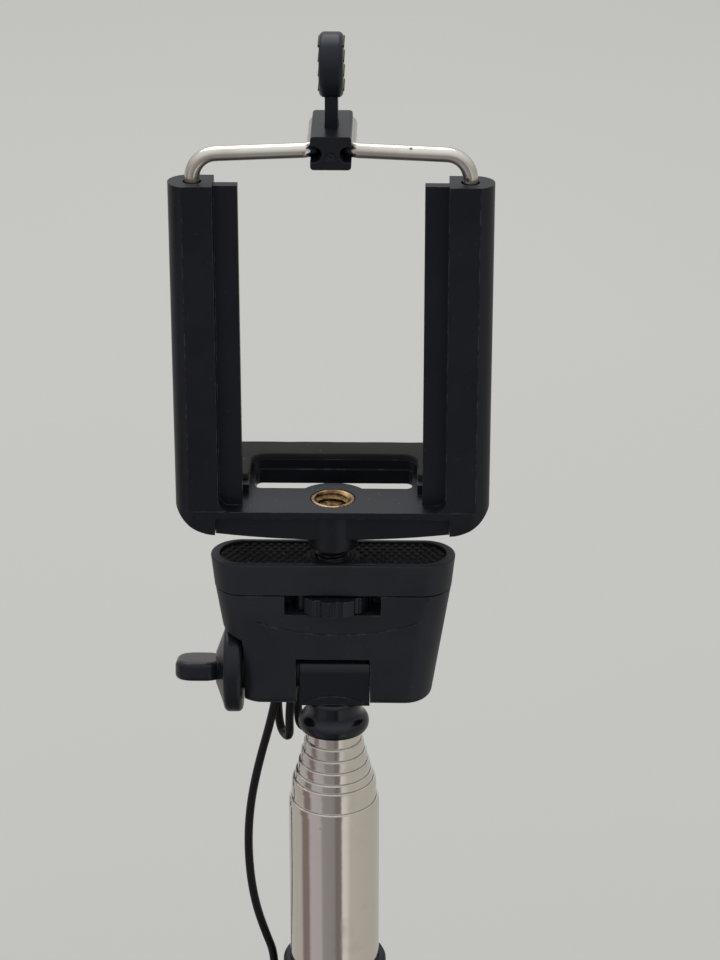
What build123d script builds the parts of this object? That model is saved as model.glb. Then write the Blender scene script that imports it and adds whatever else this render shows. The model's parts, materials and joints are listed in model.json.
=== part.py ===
"""Folded telescopic selfie stick: wired shutter handle, seven tubes, tilt head and spring phone holder.

Millimetres. The origin is the lowest point of the strap eye, on the axis of the tubes.
+Z runs up the stick, -Y is the side that faces the user, and the thumb knob points to -X.
"""

from build123d import *
from math import cos, pi, radians, sin, tan
import os

# ---- driving dimensions -------------------------------------------------------------------------

# telescopic tubes, numbered as on the object: 7 is the outermost, 1 the innermost
TUBE_OD_OUTER = 16.8
TUBE_OD_STEP = 1.12
TUBE_WALL = 0.35
TUBE_RIMS = {7: 154.5, 6: 158.6, 5: 160.1, 4: 162.2, 3: 164.4, 2: 166.6, 1: 169.2}
TUBE_LOWEST = 18.0
TUBE_BOTTOM_STEP = 1.5
CRIMP_LENGTH = 1.2
CRIMP_DEPTH = 0.15
BUSH_LENGTH = 8.0
RUNNING_GAP = 0.05

# handle
STRAP_HOLE_R = 2.0
STRAP_HOLE_Z = 5.0
LUG_THICK = 3.4
LUG_R = 5.0
CAP_BOTTOM = 7.5
CAP_TOP = 20.0
CAP_R = 14.4
CORE_BOTTOM = 15.5
CORE_TOP = 76.0
CORE_R = 11.0
GRIP_TOP = 74.0
GRIP_R = 14.2
HOUSING_R = 16.0
HOUSING_TOP = 107.0
HOUSING_WALL = 1.8
COLLAR_BOTTOM = 100.0
COLLAR_TOP = 119.4
COLLAR_R = 9.75
FIT_GAP = 0.03

# shutter switch
BUTTON_Z = 89.0
BUTTON_LONG = 11.0
BUTTON_WIDE = 7.6
BUTTON_PROUD = 17.0
SPLIT_GAP = 0.05
BOSS_X = 11.4
BOSS_DEPTH = 8.4
HOUSING_SCREW_Z = (82.0, 97.0)
HOUSING_SCREW_R = 0.98
HOUSING_SCREW_HEAD_R = 1.85
SCREW_SEAT_Y = 7.0
BOARD_FRONT = 10.6
SWITCH_FRONT = 12.6
PLUNGER_R = 1.7

# plug stowed in the shoulder of the handle
DOCK_X = -11.9
DOCK_Y = 7.2
DOCK_R = 3.5
DOCK_TOP = 103.5
DOCK_BORE_R = 2.45
PIN_BORE_R = 1.95
PLUG_PIN_R = 1.75
PLUG_BODY_R = 2.25
PLUG_BODY_BOTTOM = 91.6
PLUG_BODY_TOP = 107.0
PLUG_TAIL_TOP = 111.5
PLUG_PIN_LENGTH = 14.0

# neck and tilt head
PIVOT_Z = 181.0
FLANGE_R = 6.5
NECK_R = 5.1
NECK_TOP = 175.5
TONGUE_BOTTOM = 175.3
TONGUE_LEFT = -6.05
TONGUE_RIGHT = 6.62
TONGUE_R = 4.0
SLOT_HALF = 6.7
HEAD_BOTTOM = 175.8
SEAM_Z = 198.0
HEAD_TOP = 204.3
HEAD_TOP_WIDE = 43.9
HEAD_TOP_DEEP = 11.2
SEAM_WIDE = 42.4
SEAM_DEEP = 10.6
HEAD_FOOT_WIDE = 35.4
HEAD_FOOT_DEEP = 10.2
PAD_FLOOR = 203.0
WHEEL_R = 7.2
WHEEL_LOBES = 12
LOBE_PHASE = 8.5
WHEEL_BOTTOM = 194.6
WHEEL_TOP = 197.7
STUD_R = 3.1
STUD_TOP = 210.6
STUD_PITCH = 1.27
SCREW_R = 2.0
KNOB_R = 8.1
KNOB_INNER = -16.45
KNOB_HUB_X = -16.55
KNOB_RECESS_X = -16.1
KNOB_RECESS_R = 9.3
FIN_END = -28.7

# phone holder
PLATE_TOP = 215.0
PLATE_THICK = 2.7
BASE_BOTTOM = 209.6
FRONT_Y = -6.3
ARM_BACK_Y = 0.6
REAR_Y = 18.7
HOLDER_HALF = 27.7
ARM_INNER = 20.0
FLANGE_INNER = 15.9
ARM_TOP = 275.0
BASE_HALF = 21.5
SLOT_X = 14.1
SLOT_FRONT = 4.2
SLOT_BACK = 12.4
RIM_TOP = 216.9
PAD_TOP = 218.0
BOSS_R = 4.55
BOSS_BULGE_R = 6.6
BOSS_BOTTOM = 206.3
INSERT_R = 4.0
INSERT_BOTTOM = 207.6

# spring bail
WIRE_R = 1.3
LEG_X = 23.5
LEG_Y = -2.85
LEG_BOTTOM = 217.5
BAIL_Z = 280.6
BAIL_SLOPE = 0.9
BAIL_BEND_R = 4.2
BLOCK_HALF = 3.45
BLOCK_FRONT = -5.5
BLOCK_BACK = 9.7
BLOCK_BOTTOM = 277.9
BLOCK_TOP = 283.7
RETURN_X = 2.9
SPRING_BORE_R = 2.6
SPRING_TOP = 268.0
STOP_HEIGHT = 1.6
TAB_BOTTOM = 288.9
TAB_R = 5.5

# external lead
LEAD_R = 0.8
GLAND_END = 8.2
GLAND_Z = 171.9

os.makedirs("parts", exist_ok=True)


def save(part, name):
    """Label a finished part and write its STEP file."""
    part.label = name
    export_step(part, f"parts/{name}.step")


def tube_radius(number):
    """Outer radius of tube section 1 to 7."""
    return (TUBE_OD_OUTER - TUBE_OD_STEP * (7 - number)) / 2


def tube_bottom(number):
    """Height of a tube section's lower end with the stick folded."""
    return TUBE_LOWEST + TUBE_BOTTOM_STEP * (7 - number)


def ring(name, inner, outer, low, high):
    """Write a plain round sleeve about the stick's axis."""
    with BuildPart() as sleeve:
        with BuildSketch(Plane.XY.offset(low)):
            Circle(outer)
            Circle(inner, mode=Mode.SUBTRACT)
        extrude(amount=high - low)
    save(sleeve.part, name)


# ---- telescopic tubes ---------------------------------------------------------------------------

for number in range(7, 0, -1):
    radius = tube_radius(number)
    bottom = tube_bottom(number)
    rim = TUBE_RIMS[number]
    crimp = CRIMP_DEPTH if number > 1 else 0.0
    with BuildPart() as tube:
        with BuildSketch(Plane.XZ):
            with BuildLine():
                Polyline(
                    (radius - TUBE_WALL, bottom),
                    (radius, bottom),
                    (radius, rim - CRIMP_LENGTH),
                    (radius - crimp, rim - 0.2),
                    (radius - crimp - 0.1, rim),
                    (radius - TUBE_WALL - crimp, rim),
                    (radius - TUBE_WALL - crimp, rim - 0.4),
                    (radius - TUBE_WALL, rim - CRIMP_LENGTH),
                    close=True,
                )
            make_face()
        revolve(axis=Axis.Z)
    save(tube.part, f"section_{number}")
    if number < 7:
        bush_outer = tube_radius(number + 1) - TUBE_WALL - RUNNING_GAP
        ring(f"bush_{number}", radius, bush_outer, bottom, bottom + BUSH_LENGTH)

# ---- handle: end cap, core, grip, collar --------------------------------------------------------

with BuildPart() as end_cap:
    with BuildSketch(Plane.XZ):
        with BuildLine():
            Polyline(
                (0, CAP_BOTTOM),
                (CAP_R - 1.8, CAP_BOTTOM),
                (CAP_R - 0.6, CAP_BOTTOM + 0.5),
                (CAP_R, CAP_BOTTOM + 1.8),
                (CAP_R, CAP_TOP - 0.5),
                (CAP_R - 0.5, CAP_TOP),
                (CORE_R + FIT_GAP, CAP_TOP),
                (CORE_R + FIT_GAP, CORE_BOTTOM),
                (CORE_R - 0.3, CORE_BOTTOM),
                (CORE_R - 0.3, CAP_BOTTOM + 2),
                (0, CAP_BOTTOM + 2),
                close=True,
            )
        make_face()
    revolve(axis=Axis.Z)
    with BuildSketch(Plane.XZ.offset(-LUG_THICK / 2)):
        with Locations((0, LUG_R)):
            Circle(LUG_R)
        with Locations((0, LUG_R + 2)):
            Rectangle(2 * LUG_R, 4)
    extrude(amount=LUG_THICK)
    with BuildSketch(Plane.XZ.offset(-LUG_THICK / 2)):
        with Locations((0, STRAP_HOLE_Z)):
            Circle(STRAP_HOLE_R)
    extrude(amount=LUG_THICK, mode=Mode.SUBTRACT)
save(end_cap.part, "end_cap")

LEAD_GROOVE_Y = -10.0
with BuildPart() as grip_core:
    with BuildSketch(Plane.XY.offset(CORE_BOTTOM)):
        Circle(CORE_R)
        Circle(TUBE_OD_OUTER / 2 + FIT_GAP, mode=Mode.SUBTRACT)
        with Locations((0, LEAD_GROOVE_Y - 0.4)):
            Rectangle(2.0, 2.4, mode=Mode.SUBTRACT)
    extrude(amount=CORE_TOP - CORE_BOTTOM)
save(grip_core.part, "grip_core")

GRIP_GROOVES = 9
with BuildPart() as grip_sleeve:
    with BuildSketch(Plane.XZ):
        with BuildLine():
            Line((CORE_R + FIT_GAP, CAP_TOP + FIT_GAP), (GRIP_R - 0.6, CAP_TOP + FIT_GAP))
            ThreePointArc(
                (GRIP_R - 0.6, CAP_TOP + FIT_GAP),
                (GRIP_R, (CAP_TOP + GRIP_TOP) / 2),
                (GRIP_R - 0.6, GRIP_TOP),
            )
            Polyline(
                (GRIP_R - 0.6, GRIP_TOP),
                (CORE_R + FIT_GAP, GRIP_TOP),
                (CORE_R + FIT_GAP, CAP_TOP + FIT_GAP),
            )
        make_face()
    revolve(axis=Axis.Z)
    with BuildSketch(Plane.XZ):
        for groove in range(GRIP_GROOVES):
            with Locations((GRIP_R + 0.3, CAP_TOP + 7 + 5 * groove)):
                Circle(0.9)
    revolve(axis=Axis.Z, mode=Mode.SUBTRACT)
save(grip_sleeve.part, "grip_sleeve")

with BuildPart() as handle_collar:
    with BuildSketch(Plane.XY.offset(COLLAR_BOTTOM)):
        Circle(COLLAR_R)
        Circle(TUBE_OD_OUTER / 2 + FIT_GAP, mode=Mode.SUBTRACT)
    extrude(amount=COLLAR_TOP - COLLAR_BOTTOM)
    fillet(handle_collar.edges().group_by(Axis.Z)[-1].sort_by(SortBy.RADIUS)[-1], 0.9)
save(handle_collar.part, "handle_collar")

# ---- switch housing in two shells ---------------------------------------------------------------

def housing_half(front):
    """One half of the switch housing: the front half is on the -Y side."""
    side = -1 if front else 1
    with BuildPart() as half:
        with BuildSketch(Plane.XZ):
            with BuildLine():
                Polyline(
                    (CORE_R + FIT_GAP, GRIP_TOP + FIT_GAP),
                    (GRIP_R - 0.2, GRIP_TOP + FIT_GAP),
                    (HOUSING_R - 0.6, GRIP_TOP + 2.2),
                    (HOUSING_R, GRIP_TOP + 5),
                    (HOUSING_R, HOUSING_TOP - 9),
                )
                ThreePointArc(
                    (HOUSING_R, HOUSING_TOP - 9),
                    (HOUSING_R - 1.3, HOUSING_TOP - 4.4),
                    (COLLAR_R + 1.2, HOUSING_TOP),
                )
                Polyline(
                    (COLLAR_R + 1.2, HOUSING_TOP),
                    (COLLAR_R + FIT_GAP, HOUSING_TOP),
                    (COLLAR_R + FIT_GAP, HOUSING_TOP - 4),
                    (HOUSING_R - HOUSING_WALL - 1.6, HOUSING_TOP - 6.6),
                    (HOUSING_R - HOUSING_WALL, HOUSING_TOP - 9),
                    (HOUSING_R - HOUSING_WALL, GRIP_TOP + 4),
                    (CORE_R + FIT_GAP, GRIP_TOP + 2),
                    (CORE_R + FIT_GAP, GRIP_TOP + FIT_GAP),
                )
            make_face()
        revolve(axis=Axis.Z)
        # screw bosses beside the tube
        with BuildSketch(Plane.XZ):
            for height in HOUSING_SCREW_Z:
                with Locations((BOSS_X, height)):
                    Circle(2.2)
        extrude(amount=side * -BOSS_DEPTH)
        if not front:
            # pocket that holds the stowed plug
            with BuildSketch(Plane.XY.offset(GRIP_TOP + 3)):
                with Locations((DOCK_X, DOCK_Y)):
                    Circle(DOCK_R)
            extrude(amount=DOCK_TOP - GRIP_TOP - 3)
            with BuildSketch(Plane.XY.offset(PLUG_BODY_BOTTOM - PLUG_PIN_LENGTH - 0.4)):
                with Locations((DOCK_X, DOCK_Y)):
                    Circle(PIN_BORE_R)
            extrude(amount=30, mode=Mode.SUBTRACT)
            with BuildSketch(Plane.XY.offset(PLUG_BODY_BOTTOM - 0.4)):
                with Locations((DOCK_X, DOCK_Y)):
                    Circle(DOCK_BORE_R)
            extrude(amount=30, mode=Mode.SUBTRACT)
        # keep one side of the split plane
        with BuildSketch(Plane.XY.offset(GRIP_TOP)):
            with Locations((0, side * (SPLIT_GAP + 2 * HOUSING_R))):
                Rectangle(4 * HOUSING_R, 4 * HOUSING_R)
        extrude(amount=HOUSING_TOP - GRIP_TOP, mode=Mode.INTERSECT)
        # screw holes, with counterbores at the back
        with BuildSketch(Plane.XZ):
            for height in HOUSING_SCREW_Z:
                with Locations((BOSS_X, height)):
                    Circle(HOUSING_SCREW_R + 0.04)
        extrude(amount=side * -(BOSS_DEPTH + 0.6 if front else HOUSING_R), mode=Mode.SUBTRACT)
        if front:
            with BuildSketch(Plane.XZ.offset(BOARD_FRONT)):
                with Locations((0, BUTTON_Z)):
                    SlotOverall(BUTTON_LONG + 0.6, BUTTON_WIDE + 0.6, rotation=90)
            extrude(amount=10, mode=Mode.SUBTRACT)
        else:
            with BuildSketch(Plane.XZ.offset(-SCREW_SEAT_Y)):
                for height in HOUSING_SCREW_Z:
                    with Locations((BOSS_X, height)):
                        Circle(HOUSING_SCREW_HEAD_R + 0.15)
            extrude(amount=-HOUSING_R, mode=Mode.SUBTRACT)
    return half.part


save(housing_half(front=True), "housing_front")
save(housing_half(front=False), "housing_rear")

SCREW_HEAD_THICK = 1.3
with BuildPart() as housing_screws:
    with BuildSketch(Plane.XZ.offset(-SCREW_SEAT_Y - FIT_GAP)):
        for height in HOUSING_SCREW_Z:
            with Locations((BOSS_X, height)):
                Circle(HOUSING_SCREW_HEAD_R)
    extrude(amount=-SCREW_HEAD_THICK)
    with BuildSketch(Plane.XZ.offset(-SCREW_SEAT_Y - FIT_GAP)):
        for height in HOUSING_SCREW_Z:
            with Locations((BOSS_X, height)):
                Circle(HOUSING_SCREW_R)
    extrude(amount=2 * SCREW_SEAT_Y)
    with BuildSketch(Plane.XZ.offset(-SCREW_SEAT_Y - FIT_GAP - SCREW_HEAD_THICK)):
        for height in HOUSING_SCREW_Z:
            with Locations((BOSS_X, height)):
                Rectangle(2.4, 0.5)
                Rectangle(0.5, 2.4)
    extrude(amount=0.7, mode=Mode.SUBTRACT)
save(housing_screws.part, "housing_screws")

# ---- shutter switch -----------------------------------------------------------------------------

BOARD_THICK = 1.0
BOARD_WIDE = 11.0
BOARD_LONG = 20.0
with BuildPart() as switch_board:
    with BuildSketch(Plane.XZ.offset(BOARD_FRONT - BOARD_THICK)):
        with Locations((0, BUTTON_Z)):
            RectangleRounded(BOARD_WIDE, BOARD_LONG, 1.0)
    extrude(amount=BOARD_THICK)
save(switch_board.part, "switch_board")

SWITCH_SQUARE = 6.0
with BuildPart() as switch_body:
    with BuildSketch(Plane.XZ.offset(BOARD_FRONT)):
        with Locations((0, BUTTON_Z)):
            RectangleRounded(SWITCH_SQUARE, SWITCH_SQUARE, 0.4)
    extrude(amount=SWITCH_FRONT - BOARD_FRONT)
    with BuildSketch(Plane.XZ.offset(BOARD_FRONT + 0.5)):
        with Locations((0, BUTTON_Z)):
            Circle(PLUNGER_R + RUNNING_GAP)
    extrude(amount=SWITCH_FRONT - BOARD_FRONT, mode=Mode.SUBTRACT)
save(switch_body.part, "switch_body")

with BuildPart() as switch_plunger:
    with BuildSketch(Plane.XZ.offset(BOARD_FRONT + 1.3)):
        with Locations((0, BUTTON_Z)):
            Circle(PLUNGER_R)
    extrude(amount=1.8)
save(switch_plunger.part, "switch_plunger")

BUTTON_BACK = BOARD_FRONT + 3.1
with BuildPart() as shutter_button:
    with BuildSketch(Plane.XZ.offset(BUTTON_BACK)):
        with Locations((0, BUTTON_Z)):
            SlotOverall(BUTTON_LONG, BUTTON_WIDE, rotation=90)
    extrude(amount=BUTTON_PROUD - BUTTON_BACK)
    fillet(shutter_button.edges().group_by(Axis.Y)[0], 0.7)
    with BuildSketch(Plane.XZ.offset(BUTTON_PROUD - 0.25)):
        with Locations((0, BUTTON_Z)):
            Circle(2.3)
            Circle(1.8, mode=Mode.SUBTRACT)
    extrude(amount=1, mode=Mode.SUBTRACT)
save(shutter_button.part, "shutter_button")

SWITCH_LEAD_R = 0.6
SWITCH_LEAD_ROUTE = [
    (0, LEAD_GROOVE_Y, 78.5),
    (0, LEAD_GROOVE_Y, 11.4),
    (0, 0, 11.4),
    (0, 0, 30.0),
]


def corner_radii(route):
    """Radius for each corner of a route: 0.45 of the shorter run over the tangent of half the turn."""
    points = [Vector(*point) for point in route]
    radii = []
    for before, here, after in zip(points, points[1:], points[2:]):
        run_in = here - before
        run_out = after - here
        half_turn = radians(run_in.get_angle(run_out)) / 2
        radii.append(0.45 * min(run_in.length, run_out.length) / tan(half_turn))
    return radii


def round_wire(name, route, wire_radius, radii=None):
    """Sweep a round wire or lead along straight runs joined by tangent arcs, and print its facts."""
    radii = radii or corner_radii(route)
    with BuildPart() as wire:
        with BuildLine() as path:
            FilletPolyline(*route, radius=radii)
        spine = path.wire()
        with BuildSketch(Plane(origin=spine @ 0, z_dir=spine % 0)):
            Circle(wire_radius)
        sweep(path=spine)
    length = spine.length
    ratio = wire.part.volume / (pi * wire_radius**2 * length)
    print(f"{name}: length {length:.1f}, volume ratio {ratio:.4f}, radii", [round(r, 1) for r in radii])
    save(wire.part, name)
    return wire.part


round_wire("switch_lead", SWITCH_LEAD_ROUTE, SWITCH_LEAD_R)

# ---- neck and the leads of the top section ------------------------------------------------------

ARCH_DEPTH = 0.14
with BuildPart() as neck:
    with BuildSketch(Plane.XZ):
        with BuildLine():
            Polyline(
                (3.2, 158.0),
                (tube_radius(1) - TUBE_WALL - FIT_GAP, 158.0),
                (tube_radius(1) - TUBE_WALL - FIT_GAP, TUBE_RIMS[1] + FIT_GAP),
                (FLANGE_R - 0.25, TUBE_RIMS[1] + FIT_GAP),
            )
            ThreePointArc(
                (FLANGE_R - 0.25, TUBE_RIMS[1] + FIT_GAP),
                (FLANGE_R, 170.3),
                (FLANGE_R - 0.45, 171.4),
            )
            ThreePointArc((FLANGE_R - 0.45, 171.4), (5.42, 172.1), (NECK_R, 173.3))
            Line((NECK_R, 173.3), (NECK_R, NECK_TOP - 1.0))
            ThreePointArc(
                (NECK_R, NECK_TOP - 1.0),
                (NECK_R - 0.3, NECK_TOP - 0.3),
                (NECK_R - 1.0, NECK_TOP),
            )
            Polyline((NECK_R - 1.0, NECK_TOP), (0, NECK_TOP), (0, 173.6), (3.2, 173.6), (3.2, 158.0))
        make_face()
    revolve(axis=Axis.Z)
    # tongue with a round top about the tilt pivot
    with BuildSketch(Plane.YZ.offset(TONGUE_LEFT)):
        with Locations((0, PIVOT_Z)):
            Circle(TONGUE_R)
        with Locations((0, (PIVOT_Z + TONGUE_BOTTOM) / 2)):
            Rectangle(2 * TONGUE_R, PIVOT_Z - TONGUE_BOTTOM)
    extrude(amount=TONGUE_RIGHT - TONGUE_LEFT)
    # fine arched line on the front of the tongue
    with BuildSketch(Plane.XZ.offset(TONGUE_R - ARCH_DEPTH)):
        with BuildLine():
            ThreePointArc((-5.6, 175.7), (0, 177.1), (5.6, 175.7))
            Line((5.6, 175.7), (5.6, 175.95))
            ThreePointArc((5.6, 175.95), (0, 177.35), (-5.6, 175.95))
            Line((-5.6, 175.95), (-5.6, 175.7))
        make_face()
    extrude(amount=1, mode=Mode.SUBTRACT)
    # pivot hole
    with BuildSketch(Plane.YZ.offset(TONGUE_LEFT)):
        with Locations((0, PIVOT_Z)):
            Circle(SCREW_R + 0.1)
    extrude(amount=TONGUE_RIGHT - TONGUE_LEFT, mode=Mode.SUBTRACT)
    # hole for the lead gland, through the back
    with BuildSketch(Plane.XZ.offset(0)):
        with Locations((0, GLAND_Z)):
            Circle(1.25)
    extrude(amount=-FLANGE_R, mode=Mode.SUBTRACT)
save(neck.part, "neck")

with BuildPart() as lead_gland:
    with BuildSketch(Plane.XY.offset(GLAND_Z)):
        with BuildLine():
            Polyline(
                (LEAD_R + 0.1, 3.6),
                (1.22, 3.6),
                (1.22, 6.55),
                (1.7, 6.6),
                (1.7, 7.3),
                (1.2, GLAND_END),
                (0, GLAND_END),
                (0, 7.4),
                (LEAD_R + 0.1, 7.4),
                close=True,
            )
        make_face()
    revolve(axis=Axis(origin=(0, 0, GLAND_Z), direction=(0, 1, 0)))
save(lead_gland.part, "lead_gland")

# slack lead: out of the gland, down behind the tube, up and over twice, then a bow down to the plug
LEAD_ROUTE = [
    (0.0, 8.2, 171.9),
    (0.0, 10.9, 171.9),
    (-1.5, 12.0, 167.6),
    (-2.9, 11.3, 162.9),
    (-6.7, 10.5, 162.4),
    (-7.1, 10.9, 167.3),
    (-7.0, 11.4, 172.4),
    (-8.0, 7.4, 172.6),
    (-8.5, 7.0, 167.1),
    (-8.4, 7.2, 162.1),
    (-10.3, 11.2, 161.7),
    (-10.8, 11.0, 167.0),
    (-10.7, 11.4, 172.4),
    (-10.6, 7.2, 172.5),
    (-12.1, 6.9, 165.4),
    (-14.2, 7.2, 157.4),
    (-15.9, 7.3, 149.0),
    (-16.6, 7.2, 140.8),
    (-16.3, 7.1, 132.6),
    (-15.3, 7.2, 125.6),
    (-13.5, 7.3, 119.3),
    (-11.9, 7.2, 114.8),
    (-11.9, 7.2, PLUG_TAIL_TOP),
]
round_wire("lead", LEAD_ROUTE, LEAD_R)

COIL_R = 3.3
ring("coiled_lead", 2.0, COIL_R - 0.2, 30.0, 157.0)

with BuildPart() as plug_relief:
    with BuildSketch(Plane.XY.offset(PLUG_BODY_TOP)):
        with Locations((DOCK_X, DOCK_Y)):
            Circle(PLUG_BODY_R - 0.35)
    with BuildSketch(Plane.XY.offset(PLUG_TAIL_TOP)):
        with Locations((DOCK_X, DOCK_Y)):
            Circle(LEAD_R + 0.3)
    loft()
save(plug_relief.part, "plug_relief")

with BuildPart() as plug_body:
    with BuildSketch(Plane.XY.offset(PLUG_BODY_BOTTOM)):
        with Locations((DOCK_X, DOCK_Y)):
            Circle(PLUG_BODY_R)
    extrude(amount=PLUG_BODY_TOP - PLUG_BODY_BOTTOM)
    fillet(plug_body.edges().group_by(Axis.Z)[-1], 0.4)
save(plug_body.part, "plug_body")

PIN_PROFILE = [
    (0.0, 0.0),
    (0.5, 0.0),
    (PLUG_PIN_R - 0.15, 1.6),
    (PLUG_PIN_R - 0.15, 2.0),
    (1.15, 3.0),
    (PLUG_PIN_R, 3.9),
    (PLUG_PIN_R, PLUG_PIN_LENGTH),
    (0.0, PLUG_PIN_LENGTH),
]
with BuildPart() as plug_pin:
    with BuildSketch(Plane.XZ):
        with BuildLine():
            Polyline(*PIN_PROFILE, close=True)
        make_face()
    revolve(axis=Axis.Z)
save(Pos(DOCK_X, DOCK_Y, PLUG_BODY_BOTTOM - PLUG_PIN_LENGTH) * plug_pin.part, "plug_pin")

# ---- tilt head ----------------------------------------------------------------------------------

PAD_HOLE_R = 4.0
CAP_SCREW_X = 14.0
CAP_SCREW_R = 1.08
CAP_SCREW_HEAD_R = 2.0
CAP_SCREW_LONG = 9.0
WINDOW_WIDE = 17.3
REAR_WINDOW_WIDE = 12.5
NUT_FLATS = 7.0
NUT_THICK = 3.0

with BuildPart() as head_body:
    with BuildSketch(Plane.XY.offset(HEAD_BOTTOM)):
        SlotOverall(HEAD_FOOT_WIDE, HEAD_FOOT_DEEP)
    with BuildSketch(Plane.XY.offset(SEAM_Z)):
        SlotOverall(SEAM_WIDE, SEAM_DEEP)
    loft()
    fillet(head_body.edges().group_by(Axis.Z)[0], 1.8)
    # slot for the neck's tongue
    with BuildSketch(Plane.XZ.offset(-SEAM_DEEP)):
        with Locations((0, (HEAD_BOTTOM + PIVOT_Z + TONGUE_R + 0.3) / 2)):
            Rectangle(2 * SLOT_HALF, PIVOT_Z + TONGUE_R + 0.3 - HEAD_BOTTOM)
    extrude(amount=2 * SEAM_DEEP, mode=Mode.SUBTRACT)
    # chamber for the lock wheel, with a wide window in front and a narrower one behind
    with BuildSketch(Plane.XY.offset(WHEEL_BOTTOM - 0.3)):
        Circle(WHEEL_R + 0.35)
    extrude(amount=SEAM_Z - WHEEL_BOTTOM + 0.3, mode=Mode.SUBTRACT)
    for wide, depth in ((WINDOW_WIDE, SEAM_DEEP), (REAR_WINDOW_WIDE, -SEAM_DEEP)):
        with BuildSketch(Plane.XZ):
            with Locations((0, (WHEEL_BOTTOM - 0.3 + SEAM_Z) / 2)):
                Rectangle(wide, SEAM_Z - WHEEL_BOTTOM + 0.3)
        extrude(amount=depth, mode=Mode.SUBTRACT)
    # round recess for the thumb knob
    with BuildSketch(Plane.YZ.offset(-30)):
        with Locations((0, PIVOT_Z)):
            Circle(KNOB_RECESS_R)
    extrude(amount=30 + KNOB_RECESS_X, mode=Mode.SUBTRACT)
    # pivot screw hole and nut pocket
    with BuildSketch(Plane.YZ.offset(-20)):
        with Locations((0, PIVOT_Z)):
            Circle(SCREW_R + 0.1)
    extrude(amount=33, mode=Mode.SUBTRACT)
    with BuildSketch(Plane.YZ.offset(SLOT_HALF)):
        with Locations((0, PIVOT_Z)):
            RegularPolygon(NUT_FLATS / 2 + 0.05, 6, major_radius=False)
    extrude(amount=NUT_THICK + 0.1, mode=Mode.SUBTRACT)
    # pilot holes for the cap screws
    with BuildSketch(Plane.XY.offset(SEAM_Z)):
        with Locations((CAP_SCREW_X, 0), (-CAP_SCREW_X, 0)):
            Circle(CAP_SCREW_R + 0.04)
    extrude(amount=-6.5, mode=Mode.SUBTRACT)
    # fine bowed line across the front, and a nick in the rim beside the window
    with BuildSketch(Plane.XZ.offset(HEAD_FOOT_DEEP / 2)):
        with BuildLine():
            ThreePointArc((-13.7, 192.7), (-1.7, 190.3), (15.8, 192.9))
            Line((15.8, 192.9), (15.8, 193.15))
            ThreePointArc((15.8, 193.15), (-1.7, 190.55), (-13.7, 192.95))
            Line((-13.7, 192.95), (-13.7, 192.7))
        make_face()
        with Locations((16.9, SEAM_Z - 0.5)):
            Rectangle(0.5, 1.1)
    extrude(amount=2, mode=Mode.SUBTRACT)
save(head_body.part, "head_body")

with BuildPart() as head_cap:
    with BuildSketch(Plane.XY.offset(SEAM_Z + 0.25)):
        SlotOverall(SEAM_WIDE + 0.2, SEAM_DEEP + 0.1)
    with BuildSketch(Plane.XY.offset(HEAD_TOP)):
        SlotOverall(HEAD_TOP_WIDE, HEAD_TOP_DEEP)
    loft()
    fillet(head_cap.edges().group_by(Axis.Z)[-1], 0.35)
    with BuildSketch(Plane.XY.offset(PAD_FLOOR)):
        SlotOverall(HEAD_TOP_WIDE - 3.2, HEAD_TOP_DEEP - 2.0)
    extrude(amount=HEAD_TOP - PAD_FLOOR, mode=Mode.SUBTRACT)
    with BuildSketch(Plane.XY.offset(SEAM_Z)):
        Circle(STUD_R + 0.1)
        with Locations((CAP_SCREW_X, 0), (-CAP_SCREW_X, 0)):
            Circle(CAP_SCREW_R + 0.07)
    extrude(amount=HEAD_TOP - SEAM_Z, mode=Mode.SUBTRACT)
    with BuildSketch(Plane.XY.offset(PAD_FLOOR)):
        with Locations((CAP_SCREW_X, 0), (-CAP_SCREW_X, 0)):
            Circle(CAP_SCREW_HEAD_R + 0.1)
    extrude(amount=-1.4, mode=Mode.SUBTRACT)
save(head_cap.part, "head_cap")

with BuildPart() as head_screws:
    with BuildSketch(Plane.XY.offset(PAD_FLOOR - 1.38)):
        with Locations((CAP_SCREW_X, 0), (-CAP_SCREW_X, 0)):
            Circle(CAP_SCREW_HEAD_R)
    extrude(amount=1.2)
    with BuildSketch(Plane.XY.offset(PAD_FLOOR - 1.38)):
        with Locations((CAP_SCREW_X, 0), (-CAP_SCREW_X, 0)):
            Circle(CAP_SCREW_R)
    extrude(amount=-CAP_SCREW_LONG)
save(head_screws.part, "head_screws")

with BuildPart() as head_pad:
    with BuildSketch(Plane.XY.offset(PAD_FLOOR + 0.02)):
        SlotOverall(HEAD_TOP_WIDE - 3.3, HEAD_TOP_DEEP - 2.1)
        Circle(PAD_HOLE_R, mode=Mode.SUBTRACT)
    extrude(amount=1.0)
save(head_pad.part, "head_pad")

ring("stud_collar", STUD_R + 0.1, PAD_HOLE_R - 0.1, PAD_FLOOR + 0.02, PAD_FLOOR + 0.8)

with BuildPart() as clamp_nut:
    with BuildSketch(Plane.YZ.offset(SLOT_HALF + 0.05)):
        with Locations((0, PIVOT_Z)):
            RegularPolygon(NUT_FLATS / 2, 6, major_radius=False)
            Circle(SCREW_R + RUNNING_GAP, mode=Mode.SUBTRACT)
    extrude(amount=NUT_THICK - 0.1)
save(clamp_nut.part, "clamp_nut")

KNOB_WASHER_R = 3.9
TILT_WASHER_R = 3.6
with BuildPart() as knob_washer:
    with BuildSketch(Plane.YZ.offset(KNOB_RECESS_X - 0.4)):
        with Locations((0, PIVOT_Z)):
            Circle(KNOB_WASHER_R)
            Circle(SCREW_R + 0.15, mode=Mode.SUBTRACT)
    extrude(amount=0.38)
save(knob_washer.part, "knob_washer")

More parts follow.
